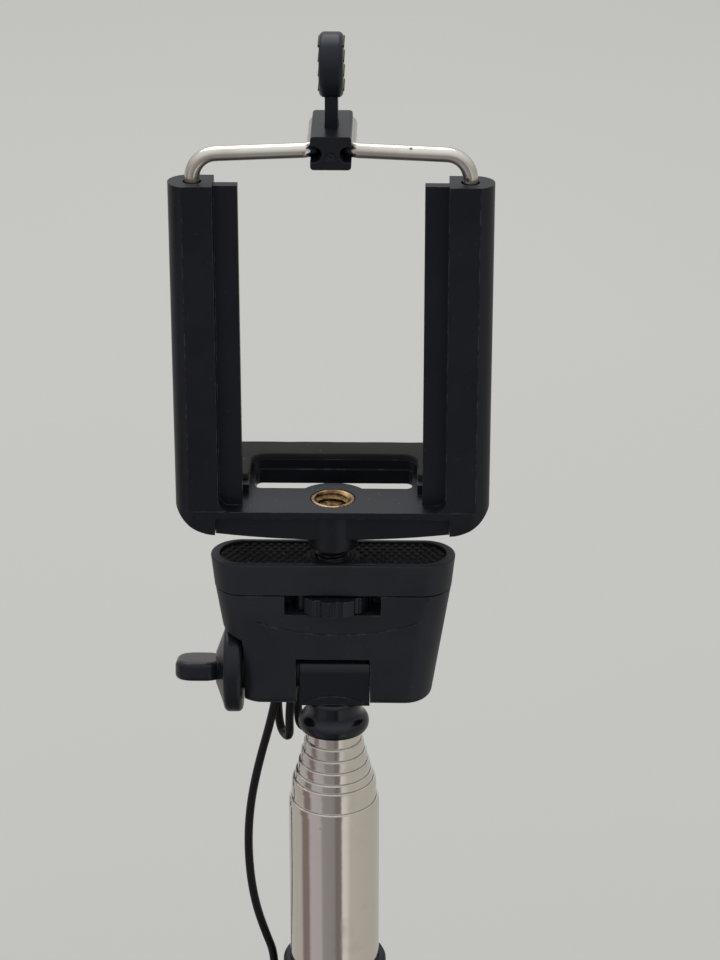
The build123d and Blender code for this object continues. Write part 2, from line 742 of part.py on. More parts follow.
with BuildPart() as tilt_washer:
    with BuildSketch(Plane.YZ.offset(-SLOT_HALF + FIT_GAP)):
        with Locations((0, PIVOT_Z)):
            Circle(TILT_WASHER_R)
            Circle(SCREW_R + 0.15, mode=Mode.SUBTRACT)
    extrude(amount=TONGUE_LEFT + SLOT_HALF - 2 * FIT_GAP)
save(tilt_washer.part, "tilt_washer")

# ---- thumb knob and its screw -------------------------------------------------------------------

FIN_THICK = 3.5
FIN_WIDE = 10.5
FIN_TURN = -16.0
PIVOT_AXIS = Axis(origin=(0, 0, PIVOT_Z), direction=(1, 0, 0))

with BuildPart() as thumb_knob:
    with BuildSketch(Plane.XZ):
        with BuildLine():
            Polyline(
                (KNOB_HUB_X, PIVOT_Z),
                (KNOB_HUB_X, PIVOT_Z + KNOB_WASHER_R + 0.2),
                (KNOB_INNER, PIVOT_Z + KNOB_WASHER_R + 0.2),
                (KNOB_INNER, PIVOT_Z + KNOB_R - 0.9),
            )
            ThreePointArc(
                (KNOB_INNER, PIVOT_Z + KNOB_R - 0.9),
                (KNOB_INNER - 0.3, PIVOT_Z + KNOB_R - 0.25),
                (KNOB_INNER - 1.0, PIVOT_Z + KNOB_R),
            )
            Line((KNOB_INNER - 1.0, PIVOT_Z + KNOB_R), (-18.9, PIVOT_Z + KNOB_R))
            ThreePointArc(
                (-18.9, PIVOT_Z + KNOB_R),
                (-19.55, PIVOT_Z + KNOB_R - 0.3),
                (-19.85, PIVOT_Z + KNOB_R - 1.1),
            )
            Polyline(
                (-19.85, PIVOT_Z + KNOB_R - 1.1),
                (-21.35, PIVOT_Z + 3.0),
                (-21.75, PIVOT_Z),
                (KNOB_HUB_X, PIVOT_Z),
            )
        make_face()
    revolve(axis=PIVOT_AXIS)
    fin_normal = (0, -sin(radians(FIN_TURN)), cos(radians(FIN_TURN)))
    fin_plane = Plane(origin=(0, 0, PIVOT_Z), x_dir=(1, 0, 0), z_dir=fin_normal)
    with BuildSketch(fin_plane.offset(-FIN_THICK / 2)):
        with Locations((FIN_END + 4.3, 0)):
            RectangleRounded(8.6, FIN_WIDE, 3.2)
    extrude(amount=FIN_THICK)
    fin_rims = thumb_knob.edges().filter_by(lambda edge: edge.center().X < -22.5)
    fillet(fin_rims, 1.0)
save(thumb_knob.part, "thumb_knob")

SCREW_END = 12.4
with BuildPart() as pivot_screw:
    with BuildSketch(Plane.YZ.offset(KNOB_HUB_X)):
        with Locations((0, PIVOT_Z)):
            Circle(SCREW_R)
    extrude(amount=SCREW_END - KNOB_HUB_X)
save(pivot_screw.part, "pivot_screw")

# ---- lock wheel and mounting stud ---------------------------------------------------------------

with BuildPart() as lock_wheel:
    with BuildSketch(Plane.XY.offset(WHEEL_BOTTOM)):
        Circle(WHEEL_R)
        with PolarLocations(WHEEL_R + 0.35, WHEEL_LOBES, start_angle=LOBE_PHASE):
            Circle(0.85, mode=Mode.SUBTRACT)
        Circle(STUD_R - 0.3, mode=Mode.SUBTRACT)
    extrude(amount=WHEEL_TOP - WHEEL_BOTTOM)
save(lock_wheel.part, "lock_wheel")

THREAD_DEPTH = 0.35
with BuildPart() as mount_stud:
    with BuildSketch(Plane.XY.offset(WHEEL_BOTTOM)):
        Circle(STUD_R - 0.32)
    extrude(amount=WHEEL_TOP - WHEEL_BOTTOM + 0.1)
    with BuildSketch(Plane.XY.offset(WHEEL_TOP + 0.1)):
        Circle(STUD_R)
    extrude(amount=STUD_TOP - WHEEL_TOP - 0.1)
    chamfer(mount_stud.edges().group_by(Axis.Z)[-1], 0.5)
    stud_grooves = int((STUD_TOP - BOSS_BOTTOM) / STUD_PITCH)
    with BuildSketch(Plane.XZ):
        for turn in range(stud_grooves):
            with Locations((STUD_R, STUD_TOP - 1.1 - STUD_PITCH * turn)):
                Rectangle(2 * THREAD_DEPTH, STUD_PITCH / 2)
    revolve(axis=Axis.Z, mode=Mode.SUBTRACT)
save(mount_stud.part, "mount_stud")

# ---- phone holder -------------------------------------------------------------------------------

CORNER_R = 6.0
FOOT_R = 1.9
FACE_HALF = 25.2
FACE_STEP = 0.22
LIP_THICK = 1.25
APRON_HALF = 20.7
APRON_Y = -3.9
APRON_BOTTOM = 208.6
ARM_FLANGE_Y = -2.2
ARM_FLANGE_THICK = 2.0
with BuildPart() as holder_frame:
    # front frame: two arms and the front of the base, seen from the front ...
    with BuildSketch(Plane.XZ.offset(-ARM_BACK_Y)):
        with BuildLine():
            Polyline(
                (-HOLDER_HALF, ARM_TOP),
                (-HOLDER_HALF, PLATE_TOP + 0.4),
            )
            ThreePointArc(
                (-HOLDER_HALF, PLATE_TOP + 0.4),
                (-HOLDER_HALF + 1.7, PLATE_TOP - 2.1),
                (-HOLDER_HALF + CORNER_R, BASE_BOTTOM + 1.0),
            )
            ThreePointArc(
                (-HOLDER_HALF + CORNER_R, BASE_BOTTOM + 1.0),
                (0, BASE_BOTTOM),
                (HOLDER_HALF - CORNER_R, BASE_BOTTOM + 1.0),
            )
            ThreePointArc(
                (HOLDER_HALF - CORNER_R, BASE_BOTTOM + 1.0),
                (HOLDER_HALF - 1.7, PLATE_TOP - 2.1),
                (HOLDER_HALF, PLATE_TOP + 0.4),
            )
            Polyline(
                (HOLDER_HALF, PLATE_TOP + 0.4),
                (HOLDER_HALF, ARM_TOP),
                (ARM_INNER, ARM_TOP),
                (ARM_INNER, PLATE_TOP + FOOT_R),
            )
            RadiusArc((ARM_INNER, PLATE_TOP + FOOT_R), (ARM_INNER - FOOT_R, PLATE_TOP), FOOT_R)
            Line((ARM_INNER - FOOT_R, PLATE_TOP), (-ARM_INNER + FOOT_R, PLATE_TOP))
            RadiusArc((-ARM_INNER + FOOT_R, PLATE_TOP), (-ARM_INNER, PLATE_TOP + FOOT_R), FOOT_R)
            Polyline(
                (-ARM_INNER, PLATE_TOP + FOOT_R),
                (-ARM_INNER, ARM_TOP),
                (-HOLDER_HALF, ARM_TOP),
            )
        make_face()
    extrude(amount=ARM_BACK_Y - FRONT_Y)
    # ... and trimmed to the rounded outline seen from above
    with BuildSketch(Plane.XY.offset(BASE_BOTTOM - 1)):
        with Locations((0, (FRONT_Y + ARM_BACK_Y) / 2)):
            SlotOverall(2 * HOLDER_HALF, ARM_BACK_Y - FRONT_Y)
    extrude(amount=ARM_TOP - BASE_BOTTOM + 2, mode=Mode.INTERSECT)
    # flat front of the arms, set back above the plate
    with BuildSketch(Plane.XZ.offset(-FRONT_Y - FACE_STEP)):
        with Locations((0, (PLATE_TOP + ARM_TOP + 1) / 2)):
            Rectangle(2 * FACE_HALF, ARM_TOP + 1 - PLATE_TOP)
    extrude(amount=2 * FACE_STEP, mode=Mode.SUBTRACT)
    # apron of the base: well back under the plate's lip, and a little deeper than the corners
    with BuildSketch(Plane.XZ.offset(-APRON_Y)):
        with Locations((0, (BASE_BOTTOM - 1 + PLATE_TOP - LIP_THICK) / 2)):
            Rectangle(2 * APRON_HALF, PLATE_TOP - LIP_THICK - BASE_BOTTOM + 1)
    extrude(amount=APRON_Y - FRONT_Y, mode=Mode.SUBTRACT)
    with BuildSketch(Plane.XZ.offset(-ARM_BACK_Y)):
        with BuildLine():
            Line((-APRON_HALF, BASE_BOTTOM + 2), (-APRON_HALF, APRON_BOTTOM + 1.2))
            ThreePointArc(
                (-APRON_HALF, APRON_BOTTOM + 1.2),
                (0, APRON_BOTTOM),
                (APRON_HALF, APRON_BOTTOM + 1.2),
            )
            Line((APRON_HALF, APRON_BOTTOM + 1.2), (APRON_HALF, BASE_BOTTOM + 2))
            Line((APRON_HALF, BASE_BOTTOM + 2), (-APRON_HALF, BASE_BOTTOM + 2))
        make_face()
    extrude(amount=ARM_BACK_Y - APRON_Y)
    # thin inner flanges of the arms
    with BuildSketch(Plane.XY.offset(PLATE_TOP - 1)):
        for side in (-1, 1):
            with Locations((side * (FLANGE_INNER + ARM_INNER + 0.5) / 2, ARM_FLANGE_Y)):
                Rectangle(ARM_INNER + 0.5 - FLANGE_INNER, ARM_FLANGE_THICK)
    extrude(amount=ARM_TOP - 0.7 - PLATE_TOP + 1)
    # rear of the base plate, with its rim
    with BuildSketch(Plane.XY.offset(PLATE_TOP - PLATE_THICK)):
        with Locations((0, (REAR_Y - 1) / 2)):
            RectangleRounded(2 * BASE_HALF, REAR_Y + 1, 3.0)
    extrude(amount=PLATE_THICK)
    with BuildSketch(Plane.XY.offset(PLATE_TOP)):
        with Locations((0, (REAR_Y + 1.5) / 2)):
            RectangleRounded(2 * BASE_HALF - 0.6, REAR_Y - 1.5, 2.9)
        with Locations((0, (SLOT_BACK + 0.3 - 8) / 2)):
            RectangleRounded(2 * (SLOT_X + 0.9), SLOT_BACK + 0.3 + 8, 3.0, mode=Mode.SUBTRACT)
    extrude(amount=RIM_TOP - PLATE_TOP)
    # slot behind the mounting boss
    with BuildSketch(Plane.XY.offset(PLATE_TOP)):
        with Locations((0, (SLOT_FRONT + SLOT_BACK) / 2)):
            RectangleRounded(2 * SLOT_X, SLOT_BACK - SLOT_FRONT, 1.2)
        Circle(BOSS_BULGE_R, mode=Mode.SUBTRACT)
    extrude(amount=-PLATE_THICK, mode=Mode.SUBTRACT)
    # boss around the insert
    with BuildSketch(Plane.XY.offset(BOSS_BOTTOM)):
        Circle(BOSS_R)
    extrude(amount=PLATE_TOP - 1.0 - BOSS_BOTTOM)
    with BuildSketch(Plane.XY.offset(PLATE_TOP)):
        Circle(INSERT_R + 0.02)
    extrude(amount=INSERT_BOTTOM - 0.02 - PLATE_TOP, mode=Mode.SUBTRACT)
    with BuildSketch(Plane.XY.offset(PLATE_TOP)):
        Circle(STUD_R + 0.15)
    extrude(amount=BOSS_BOTTOM - PLATE_TOP, mode=Mode.SUBTRACT)
    # bores of the arms: a guide hole above a spring chamber
    with BuildSketch(Plane.XY.offset(ARM_TOP)):
        with Locations((-LEG_X, LEG_Y), (LEG_X, LEG_Y)):
            Circle(WIRE_R + 0.3)
    extrude(amount=-20, mode=Mode.SUBTRACT)
    with BuildSketch(Plane.XY.offset(SPRING_TOP)):
        with Locations((-LEG_X, LEG_Y), (LEG_X, LEG_Y)):
            Circle(SPRING_BORE_R)
    extrude(amount=LEG_BOTTOM - 0.5 - SPRING_TOP, mode=Mode.SUBTRACT)
save(holder_frame.part, "holder_frame")

KNURLS = 32
with BuildPart() as thread_insert:
    with BuildSketch(Plane.XZ):
        with BuildLine():
            Polyline(
                (STUD_R + 0.08, INSERT_BOTTOM),
                (INSERT_R - 0.3, INSERT_BOTTOM),
                (INSERT_R, INSERT_BOTTOM + 0.3),
                (INSERT_R, PLATE_TOP + 0.05),
                (3.2, PLATE_TOP + 0.05),
                (2.65, PLATE_TOP - 0.5),
                (2.65, STUD_TOP + 0.6),
                (STUD_R + 0.08, STUD_TOP + 0.3),
                close=True,
            )
        make_face()
    revolve(axis=Axis.Z)
    with BuildSketch(Plane.XZ):
        for turn in range(3):
            with Locations((2.65, PLATE_TOP - 1.0 - STUD_PITCH * turn)):
                RegularPolygon(0.55, 4)
    revolve(axis=Axis.Z, mode=Mode.SUBTRACT)
    with BuildSketch(Plane.XY.offset(PLATE_TOP + 0.05)):
        with PolarLocations(INSERT_R + 0.08, KNURLS):
            Circle(0.2)
    extrude(amount=INSERT_BOTTOM - PLATE_TOP - 0.05, mode=Mode.SUBTRACT)
save(thread_insert.part, "thread_insert")

with BuildPart() as rim_pad:
    with BuildSketch(Plane.XY.offset(RIM_TOP + 0.02)):
        with Locations((0, (REAR_Y + 3.2) / 2)):
            RectangleRounded(2 * BASE_HALF - 1.2, REAR_Y - 3.8, 2.8)
        with Locations((0, (SLOT_BACK + 0.4 - 8) / 2)):
            RectangleRounded(2 * (SLOT_X + 1.0), SLOT_BACK + 0.4 + 8, 3.0, mode=Mode.SUBTRACT)
    extrude(amount=PAD_TOP - RIM_TOP - 0.02)
save(rim_pad.part, "rim_pad")

# ---- spring bail --------------------------------------------------------------------------------

BACK_TURN_Y = BLOCK_BACK + 0.4 + WIRE_R + RETURN_X
BAIL_ROUTE = [
    (-LEG_X, LEG_Y, LEG_BOTTOM),
    (-LEG_X, LEG_Y, BAIL_Z - BAIL_SLOPE),
    (-RETURN_X, LEG_Y, BAIL_Z),
    (-RETURN_X, BACK_TURN_Y, BAIL_Z),
    (RETURN_X, BACK_TURN_Y, BAIL_Z),
    (RETURN_X, LEG_Y, BAIL_Z),
    (LEG_X, LEG_Y, BAIL_Z - BAIL_SLOPE),
    (LEG_X, LEG_Y, LEG_BOTTOM),
]
BLOCK_BEND_R = 2.0
BAIL_RADII = [BAIL_BEND_R, BLOCK_BEND_R, RETURN_X - 0.05, RETURN_X - 0.05, BLOCK_BEND_R, BAIL_BEND_R]
round_wire("bail_wire", BAIL_ROUTE, WIRE_R, BAIL_RADII)

PIN_Z = 280.1
PIN_R = 0.75
PIN_HOLE_R = 0.3
PIN_DEEP = 0.3
TAB_Y = 2.0
STEM_WIDE = 2.2
STEM_DEEP = 4.66
STEM_SUNK = 2.0
with BuildPart() as bail_block:
    with BuildSketch(Plane.XZ.offset(-BLOCK_BACK)):
        with Locations((0, (BLOCK_BOTTOM + BLOCK_TOP) / 2)):
            RectangleRounded(2 * BLOCK_HALF, BLOCK_TOP - BLOCK_BOTTOM, 0.6)
    extrude(amount=BLOCK_BACK - BLOCK_FRONT)
    with BuildSketch(Plane.XZ.offset(-BLOCK_BACK)):
        with Locations((-RETURN_X, BAIL_Z), (RETURN_X, BAIL_Z)):
            Circle(WIRE_R + 0.12)
    extrude(amount=BLOCK_BACK - BLOCK_FRONT, mode=Mode.SUBTRACT)
    with BuildSketch(Plane.XZ.offset(-BLOCK_FRONT - PIN_DEEP)):
        with Locations((0, PIN_Z)):
            Circle(PIN_R + FIT_GAP)
    extrude(amount=1, mode=Mode.SUBTRACT)
    with BuildSketch(Plane.XY.offset(BLOCK_TOP)):
        with Locations((0, TAB_Y)):
            Rectangle(STEM_WIDE + 0.04, STEM_DEEP + 0.04)
    extrude(amount=-STEM_SUNK, mode=Mode.SUBTRACT)
save(bail_block.part, "bail_block")

with BuildPart() as block_pin:
    with BuildSketch(Plane.XZ.offset(-BLOCK_FRONT - PIN_DEEP + 0.02)):
        with Locations((0, PIN_Z)):
            Circle(PIN_R)
    extrude(amount=PIN_DEEP + 0.2)
    with BuildSketch(Plane.XZ.offset(-BLOCK_FRONT)):
        with Locations((0, PIN_Z)):
            Circle(PIN_HOLE_R)
    extrude(amount=1, mode=Mode.SUBTRACT)
save(block_pin.part, "block_pin")

TAB_Z = TAB_BOTTOM + TAB_R - 0.4
TAB_THICK = 4.1
RIBBED_THICK = 4.45
RIB_STEP = 2.5
RIB_WIDE = 6.0
RIB_HIGH = 0.5
with BuildPart() as pull_tab:
    with BuildSketch(Plane.YZ.offset(-TAB_THICK / 2)) as tab_outline:
        with Locations((TAB_Y, TAB_Z)):
            Circle(TAB_R)
        with Locations((TAB_Y, TAB_BOTTOM - 2)):
            Rectangle(4 * TAB_R, 4, mode=Mode.SUBTRACT)
        fillet(tab_outline.vertices(), 1.0)
    extrude(amount=TAB_THICK)
    fillet(pull_tab.faces().filter_by(Axis.X).edges(), 0.9)
    for rib in range(4):
        with BuildSketch(Plane.YZ.offset(-RIBBED_THICK / 2)):
            with Locations((TAB_Y, TAB_BOTTOM + 1.6 + RIB_STEP * rib)):
                RectangleRounded(RIB_WIDE, RIB_HIGH, 0.2)
        extrude(amount=RIBBED_THICK)
    with BuildSketch(Plane.XY.offset(BLOCK_TOP - STEM_SUNK + 0.05)):
        with Locations((0, TAB_Y)):
            Rectangle(STEM_WIDE, STEM_DEEP)
    extrude(amount=TAB_BOTTOM - BLOCK_TOP + STEM_SUNK + 0.5)
save(pull_tab.part, "pull_tab")

with BuildPart() as leg_stops:
    with BuildSketch(Plane.XY.offset(LEG_BOTTOM)):
        with Locations((-LEG_X, LEG_Y), (LEG_X, LEG_Y)):
            Circle(SPRING_BORE_R - 0.3)
        with Locations((-LEG_X, LEG_Y), (LEG_X, LEG_Y)):
            Circle(WIRE_R, mode=Mode.SUBTRACT)
    extrude(amount=STOP_HEIGHT)
save(leg_stops.part, "leg_stops")

for side, place in (("left", -LEG_X), ("right", LEG_X)):
    with BuildPart() as spring:
        with BuildSketch(Plane.XY.offset(LEG_BOTTOM + STOP_HEIGHT + 0.02)):
            with Locations((place, LEG_Y)):
                Circle(SPRING_BORE_R - 0.3)
                Circle(WIRE_R + 0.3, mode=Mode.SUBTRACT)
        extrude(amount=SPRING_TOP - LEG_BOTTOM - STOP_HEIGHT - 0.04)
    save(spring.part, f"spring_{side}")
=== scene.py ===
"""Looks of a folded telescopic selfie stick with a tilt head and a spring phone holder.

Metres. The stick stands along +Z on its strap eye, and its front faces -Y.
"""

import json
import logging
import math
from dataclasses import dataclass, field
from enum import Enum
from typing import Callable, Sequence

import bmesh
import bpy
from mathutils import Matrix, Vector, noise


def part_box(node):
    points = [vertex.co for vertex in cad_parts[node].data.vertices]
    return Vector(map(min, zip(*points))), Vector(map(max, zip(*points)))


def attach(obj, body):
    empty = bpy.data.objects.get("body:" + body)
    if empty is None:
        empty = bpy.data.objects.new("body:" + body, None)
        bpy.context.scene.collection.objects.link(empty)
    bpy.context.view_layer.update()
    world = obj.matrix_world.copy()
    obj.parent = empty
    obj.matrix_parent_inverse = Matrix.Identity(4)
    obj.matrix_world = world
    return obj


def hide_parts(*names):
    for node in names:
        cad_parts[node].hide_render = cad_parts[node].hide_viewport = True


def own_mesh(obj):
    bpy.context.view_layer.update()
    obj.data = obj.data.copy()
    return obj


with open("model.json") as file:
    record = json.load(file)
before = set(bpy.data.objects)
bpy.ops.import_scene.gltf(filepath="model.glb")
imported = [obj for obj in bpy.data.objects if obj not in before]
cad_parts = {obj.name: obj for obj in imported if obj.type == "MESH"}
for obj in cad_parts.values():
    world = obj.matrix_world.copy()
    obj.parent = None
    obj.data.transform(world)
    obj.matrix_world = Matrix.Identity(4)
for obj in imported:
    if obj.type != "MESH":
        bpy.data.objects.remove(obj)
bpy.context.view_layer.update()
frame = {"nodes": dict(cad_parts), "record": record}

MM = 0.001
FULL_TURN = 2 * math.pi
Colour = tuple[float, float, float]
Point = tuple[float, float, float]
DUST: Colour = (0.20, 0.20, 0.19)
LINT: Colour = (0.18, 0.18, 0.17)
log = logging.getLogger("selfie_stick")


class Body(str, Enum):
    """The bodies that carry the pieces made here."""

    HANDLE = "handle"
    TOP_SECTION = "section_1"
    HEAD = "head"
    LOCK_WHEEL = "lock_wheel"
    HOLDER = "holder"


class Side(Enum):
    """The two sides of the holder, as the sign of X."""

    LEFT = -1
    RIGHT = 1


# ---- materials ----------------------------------------------------------------------------------


class Wiring:
    """The nodes of one material, wired by short calls."""

    def __init__(self, name: str) -> None:
        """Start a material with its Principled shader.

        Args:
            name: The material's name.
        """
        self.material = bpy.data.materials.new(name)
        self.material.use_nodes = True
        self.tree = self.material.node_tree
        self.shader = self.tree.nodes["Principled BSDF"]
        coordinates = self.add("ShaderNodeTexCoord")
        self.place = coordinates.outputs["Object"]
        self.facing = coordinates.outputs["Normal"]

    def add(self, kind: str, inputs: dict | None = None, **settings: object) -> bpy.types.Node:
        """Add a node.

        Args:
            kind: The node's type.
            inputs: Values or sockets for its inputs, by name or number.
            settings: Its own settings.

        Returns:
            The node.
        """
        node = self.tree.nodes.new(kind)
        for key, value in settings.items():
            setattr(node, key, value)
        for key, value in (inputs or {}).items():
            self.feed(node.inputs[key], value)
        return node

    def feed(self, socket: bpy.types.NodeSocket, value: object) -> None:
        """Link a socket into another, or set its plain value.

        Args:
            socket: The socket to feed.
            value: A socket to link, or a plain value.
        """
        if isinstance(value, bpy.types.NodeSocket):
            self.tree.links.new(value, socket)
        elif socket.type == "RGBA":
            socket.default_value = (*value, 1.0)
        else:
            socket.default_value = value

    def maths(self, operation: str, a: object, b: object = 0.0, clamp: bool = False) -> bpy.types.NodeSocket:
        """One Math node's result."""
        return self.add("ShaderNodeMath", {0: a, 1: b}, operation=operation, use_clamp=clamp).outputs[0]

    def span(
        self, value: object, low: float, high: float, to_low: float = 0.0, to_high: float = 1.0
    ) -> bpy.types.NodeSocket:
        """A value mapped smoothly from one range to another, held at its ends.

        Args:
            value: The value or socket.
            low: Start of its range.
            high: End of its range.
            to_low: What the start becomes.
            to_high: What the end becomes.

        Returns:
            The mapped value.
        """
        inputs = {"Value": value, "From Min": low, "From Max": high, "To Min": to_low, "To Max": to_high}
        return self.add("ShaderNodeMapRange", inputs, interpolation_type="SMOOTHSTEP").outputs[0]

    def stretched(self, scale: Point) -> bpy.types.NodeSocket:
        """The surface's own coordinates, scaled along each axis."""
        return self.add("ShaderNodeMapping", {"Vector": self.place, "Scale": scale}).outputs[0]

    def grain(self, scale: float, detail: float = 3.0, place: object = None) -> bpy.types.NodeSocket:
        """A noise value of about 0.5, with so many spots to the metre."""
        inputs = {"Vector": place or self.place, "Scale": scale, "Detail": detail, "Roughness": 0.55}
        return self.add("ShaderNodeTexNoise", inputs).outputs[0]

    def mix(self, share: object, a: object, b: object) -> bpy.types.NodeSocket:
        """Two colours mixed by a share.

        Args:
            share: How much of the second colour there is.
            a: The first colour.
            b: The second colour.

        Returns:
            The mixed colour.
        """
        node = self.add("ShaderNodeMix", data_type="RGBA")
        self.feed(node.inputs[0], share)
        self.feed(node.inputs[6], a)
        self.feed(node.inputs[7], b)
        return node.outputs[2]

    def specks(self, scale: float, size: float, rarity: float) -> bpy.types.NodeSocket:
        """Scattered round specks, 1 inside a speck.

        Args:
            scale: Cells to the metre.
            size: A speck's radius as a share of its cell.
            rarity: Share of the cells that stay empty.

        Returns:
            The mask.
        """
        cells = self.add("ShaderNodeTexVoronoi", {"Vector": self.place, "Scale": scale})
        inside = self.span(cells.outputs["Distance"], size * 0.5, size, 1.0, 0.0)
        chosen = self.add("ShaderNodeSeparateColor", {0: cells.outputs["Color"]}).outputs[0]
        return self.maths("MULTIPLY", inside, self.maths("GREATER_THAN", chosen, rarity))

    def edges(self, radius: float) -> tuple[bpy.types.NodeSocket, bpy.types.NodeSocket]:
        """Softened edges.

        Args:
            radius: How far the rounding reaches, in metres.

        Returns:
            The rounded normal, and a mask that is 1 on the edges.
        """
        rounded = self.add("ShaderNodeBevel", {"Radius": radius}, samples=6).outputs[0]
        flat = self.add("ShaderNodeNewGeometry").outputs["Normal"]
        alike = self.add("ShaderNodeVectorMath", {0: rounded, 1: flat}, operation="DOT_PRODUCT")
        return rounded, self.span(alike.outputs["Value"], 0.97, 0.80)

    def bump(self, height: object, distance: float, strength: float, normal: object) -> bpy.types.NodeSocket:
        """A bumped normal."""
        inputs = {"Strength": strength, "Distance": distance, "Height": height, "Normal": normal}
        return self.add("ShaderNodeBump", inputs).outputs[0]

    def finish(self, **sockets: object) -> bpy.types.Material:
        """Feed the shader's sockets, named with _ for a space, and return the material.

        Args:
            sockets: Each socket's name and what feeds it.

        Returns:
            The material.
        """
        names = {name.lower().replace(" ", "_"): name for name in self.shader.inputs.keys()}
        for key, value in sockets.items():
            self.feed(self.shader.inputs[names[key]], value)
        return self.material


@dataclass(frozen=True)
class MouldedPlastic:
    """Black injection-moulded plastic with a fine grain, worn edges and stray dust."""

    name: str
    colour: Colour
    worn: Colour = (0.105, 0.105, 0.105)
    roughness: float = 0.42
    specular: float = 0.32
    sheen_tint: Colour = (0.78, 0.86, 1.0)
    grain: float = 0.25
    dust: float = 0.6
    wear: float = 0.5
    rounding: float = 0.22 * MM

    def make(self) -> bpy.types.Material:
        """Build the material.

        Returns:
            The material.
        """
        w = Wiring(self.name)
        rounded, edge = w.edges(self.rounding)
        clouds = w.grain(75.0, 5.0)
        scuffs = w.span(w.grain(620.0, 4.0), 0.46, 0.62)
        wear = w.maths("MULTIPLY", w.maths("MULTIPLY", edge, scuffs), self.wear)
        up = w.span(w.add("ShaderNodeSeparateXYZ", {0: w.facing}).outputs[2], 0.2, 0.9, 0.18, 1.0)
        dust = w.maths("MULTIPLY", w.maths("MULTIPLY", w.specks(1100.0, 0.19, 0.92), up), self.dust)
        lighter = tuple(1.35 * c for c in self.colour)
        base = w.mix(w.span(clouds, 0.35, 0.65), self.colour, lighter)
        base = w.mix(wear, base, self.worn)
        base = w.mix(dust, base, DUST)
        rough = w.span(clouds, 0.3, 0.7, self.roughness - 0.05, self.roughness + 0.06)
        rough = w.maths("ADD", rough, w.maths("MULTIPLY", wear, 0.15), clamp=True)
        fine = w.grain(3400.0, 2.0)
        normal = w.bump(fine, 0.02 * MM, self.grain, rounded)
        return w.finish(
            base_color=base, roughness=rough, normal=normal, ior=1.5,
            specular_ior_level=self.specular, specular_tint=self.sheen_tint,
        )


@dataclass(frozen=True)
class SoftRubber:
    """Matte rubber or soft jacket, mottled and slightly greyed where it is handled."""

    name: str
    colour: Colour
    roughness: float = 0.75
    mottle: float = 1.5
    texture: float = 900.0
    depth: float = 0.35
    rounding: float = 0.25 * MM

    def make(self) -> bpy.types.Material:
        """Build the material.

        Returns:
            The material.
        """
        w = Wiring(self.name)
        rounded, edge = w.edges(self.rounding)
        clouds = w.grain(110.0, 5.0)
        greyed = tuple(self.mottle * c for c in self.colour)
        base = w.mix(w.span(clouds, 0.35, 0.68), self.colour, greyed)
        base = w.mix(w.maths("MULTIPLY", edge, 0.35), base, tuple(1.6 * c for c in greyed))
        base = w.mix(w.maths("MULTIPLY", w.specks(800.0, 0.22, 0.94), 0.35), base, LINT)
        rough = w.span(clouds, 0.3, 0.7, self.roughness - 0.06, self.roughness + 0.08)
        normal = w.bump(w.grain(self.texture, 4.0), 0.05 * MM, self.depth, rounded)
        return w.finish(base_color=base, roughness=rough, normal=normal, specular_ior_level=0.3, ior=1.5)


@dataclass(frozen=True)
class PolishedSteel:
    """Bright drawn tube: fine lines along it, finger smudges, slight ripples in the wall and a painted
    highlight on its edges.
    """

    name: str
    colour: Colour
    # painted highlight: the lighter colour laid along the tube's edges and rims
    rim: Colour = (0.80, 0.77, 0.73)
    stain: Colour = (0.16, 0.13, 0.11)
    roughness: float = 0.09
    ripple: float = 0.05
    smudge: float = 0.5

    def make(self) -> bpy.types.Material:
        """Build the material.

        Returns:
            The material.
        """
        w = Wiring(self.name)
        rounded, edge = w.edges(0.12 * MM)
        clouds = w.grain(95.0, 5.0)
        smudges = w.maths("MULTIPLY", w.span(clouds, 0.52, 0.70), self.smudge)
        lines = w.grain(1.0, 2.0, w.stretched((2600.0, 2600.0, 22.0)))
        base = w.mix(smudges, self.colour, tuple(0.82 * c for c in self.colour))
        # painted highlight: the edges are lightened towards the rim colour
        base = w.mix(w.maths("MULTIPLY", edge, 0.25), base, self.rim)
        base = w.mix(w.maths("MULTIPLY", w.specks(420.0, 0.10, 0.93), 0.5), base, self.stain)
        rough = w.span(lines, 0.3, 0.7, self.roughness - 0.02, self.roughness + 0.04)
        rough = w.maths("ADD", rough, w.maths("MULTIPLY", smudges, 0.22), clamp=True)
        ripples = w.grain(260.0, 2.0)
        normal = w.bump(ripples, 0.4 * MM, self.ripple, rounded)
        normal = w.bump(lines, 0.01 * MM, 0.10, normal)
        return w.finish(base_color=base, metallic=1.0, roughness=rough, normal=normal)


@dataclass(frozen=True)
class PlatedMetal:
    """Plated or bare metal with small dark pits and a dulled film."""

    name: str
    colour: Colour
    film: Colour
    pit_colour: Colour = (0.07, 0.05, 0.035)
    roughness: float = 0.16
    pits: float = 0.8
    pit_scale: float = 520.0

    def make(self) -> bpy.types.Material:
        """Build the material.

        Returns:
            The material.
        """
        w = Wiring(self.name)
        rounded, _ = w.edges(0.10 * MM)
        clouds = w.grain(160.0, 5.0)
        film = w.span(clouds, 0.45, 0.72)
        pits = w.maths("MULTIPLY", w.specks(self.pit_scale, 0.26, 0.90), self.pits)
        base = w.mix(w.maths("MULTIPLY", film, 0.6), self.colour, self.film)
        base = w.mix(pits, base, self.pit_colour)
        rough = w.span(clouds, 0.3, 0.7, self.roughness - 0.03, self.roughness + 0.10)
        rough = w.maths("ADD", rough, w.maths("MULTIPLY", pits, 0.4), clamp=True)
        normal = w.bump(pits, -0.05 * MM, 0.8, rounded)
        normal = w.bump(w.grain(900.0, 3.0), 0.02 * MM, 0.15, normal)
        return w.finish(base_color=base, metallic=1.0, roughness=rough, normal=normal)


